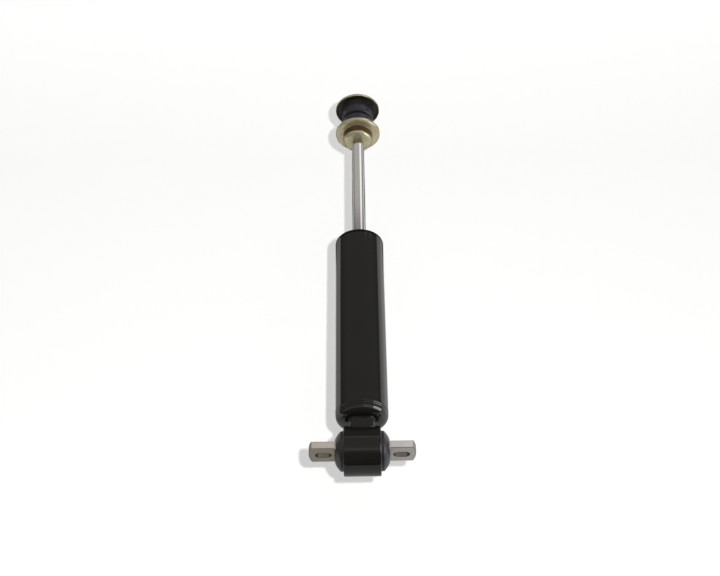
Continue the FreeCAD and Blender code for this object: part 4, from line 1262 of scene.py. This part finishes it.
# Light
# A lamp beside the camera throws the narrow shadow on the left. Three soft windows show only
# in gloss: a bright one to the right, a faint one nearer the camera, and a high one for the
# rod.
KEY_ASIDE = Vector((51.5, 34.5, 0.0))
KEY_POWER = 21.0
KEY_SIZE = 7.0
key = bpy.data.lights.new("key_lamp", "POINT")
key.energy = KEY_POWER
key.shadow_soft_size = KEY_SIZE * MM
key.use_nodes = True
tree = key.node_tree
even = place(tree, "ShaderNodeLightFalloff", {"Strength": 1.0})
tree.links.new(even.outputs["Constant"], tree.nodes["Emission"].inputs["Strength"])
key_lamp = bpy.data.objects.new("key_lamp", key)
key_lamp.location = camera_stand.matrix_world @ (KEY_ASIDE * MM)
key_lamp.visible_glossy = False
bpy.context.scene.collection.objects.link(key_lamp)

# A wide fill from above, too soft to throw a shadow of its own
FILL_TOWARDS = Vector((-0.15, 0.75, -0.65))
FILL_POWER = 1.8
FILL_SPREAD = 60
fill = bpy.data.lights.new("soft_fill", "SUN")
fill.energy = FILL_POWER
fill.angle = math.radians(FILL_SPREAD)
fill.use_shadow = False
fill_lamp = bpy.data.objects.new("soft_fill", fill)
fill_lamp.rotation_mode = "QUATERNION"
fill_lamp.rotation_quaternion = FILL_TOWARDS.to_track_quat("-Z", "Y")
fill_lamp.visible_glossy = False
bpy.context.scene.collection.objects.link(fill_lamp)


def window(name, middle, towards, width, height, level, colour):
    """A soft window that only gloss mirrors, given by where it is and what it faces, in mm."""
    light = bpy.data.lights.new(name, "AREA")
    light.shape = "RECTANGLE"
    light.size = width * MM
    light.size_y = height * MM
    light.energy = math.pi * light.size * light.size_y * level
    light.color = colour
    lamp = bpy.data.objects.new(name, light)
    lamp.location = Vector(middle) * MM
    lamp.rotation_mode = "QUATERNION"
    lamp.rotation_quaternion = (Vector(towards) - Vector(middle)).to_track_quat("-Z", "Y")
    lamp.visible_diffuse = False
    bpy.context.scene.collection.objects.link(lamp)


COOL_SKY = (0.95, 0.96, 1.0)
HIGH_SKY = (0.96, 0.97, 1.0)
window("side_window", (836, -326, -33), (0, 0, 30), 640, 420, 6.0, COOL_SKY)
window("low_window", (430, -787, -33), (0, 0, 30), 720, 420, 0.7, COOL_SKY)
window("rod_window", (649, -692, 1205), (0, 0, 280), 560, 370, 0.85, HIGH_SKY)

# Levels of the room by the height of the direction looked in, from straight down to
# straight up: a dark floor, a warm band at the horizon, plain walls and a pale band above
ROOM_BANDS = [
    (0.0, 0.10),
    (0.2, 0.12),
    (0.29, 0.30),
    (0.355, 0.75),
    (0.41, 0.40),
    (0.5, 0.36),
    (0.816, 0.30),
    (0.824, 0.60),
    (0.86, 0.60),
    (0.875, 0.12),
    (1.0, 0.12),
]
ROOM_WARMTH = (1.0, 0.97, 0.92)
room = bpy.data.worlds.new("pale_room")
room.use_nodes = True
bpy.context.scene.world = room
tree = room.node_tree
look = place(tree, "ShaderNodeTexCoord")
parts = place(tree, "ShaderNodeSeparateXYZ", {"Vector": look.outputs["Generated"]})
rise = ranged(tree, parts.outputs["Z"], -1.0, 1.0)
bands = place(tree, "ShaderNodeValToRGB", {"Fac": rise})
tints = [[level * share for share in ROOM_WARMTH] for _, level in ROOM_BANDS]
set_stops(bands.color_ramp, [(band[0], tint) for band, tint in zip(ROOM_BANDS, tints)])
# The room is brightest on the camera's side, and half as bright for plain surfaces
ROOM_FRONT = -0.4
ROOM_BACK_LEVEL = 0.5
ROOM_PLAIN_LEVEL = 0.5
facing = ranged(tree, parts.outputs["Y"], ROOM_FRONT, 0.0, 1.0, ROOM_BACK_LEVEL)
way = place(tree, "ShaderNodeLightPath")
plain = way.outputs["Is Diffuse Ray"]
spread = reckoned(tree, "MULTIPLY_ADD", plain, ROOM_PLAIN_LEVEL - 1.0, 1.0)
strength = reckoned(tree, "MULTIPLY", facing, spread)
walls = place(
    tree,
    "ShaderNodeBackground",
    {"Color": bands.outputs["Color"], "Strength": strength},
)
white = place(tree, "ShaderNodeBackground", {"Color": (1.0, 1.0, 1.0, 1.0)})
seen = way.outputs["Is Camera Ray"]
shown = place(
    tree,
    "ShaderNodeMixShader",
    {0: seen, 1: walls.outputs["Background"], 2: white.outputs["Background"]},
)
tree.links.new(shown.outputs["Shader"], tree.nodes["World Output"].inputs["Surface"])
tree.nodes.remove(tree.nodes["Background"])
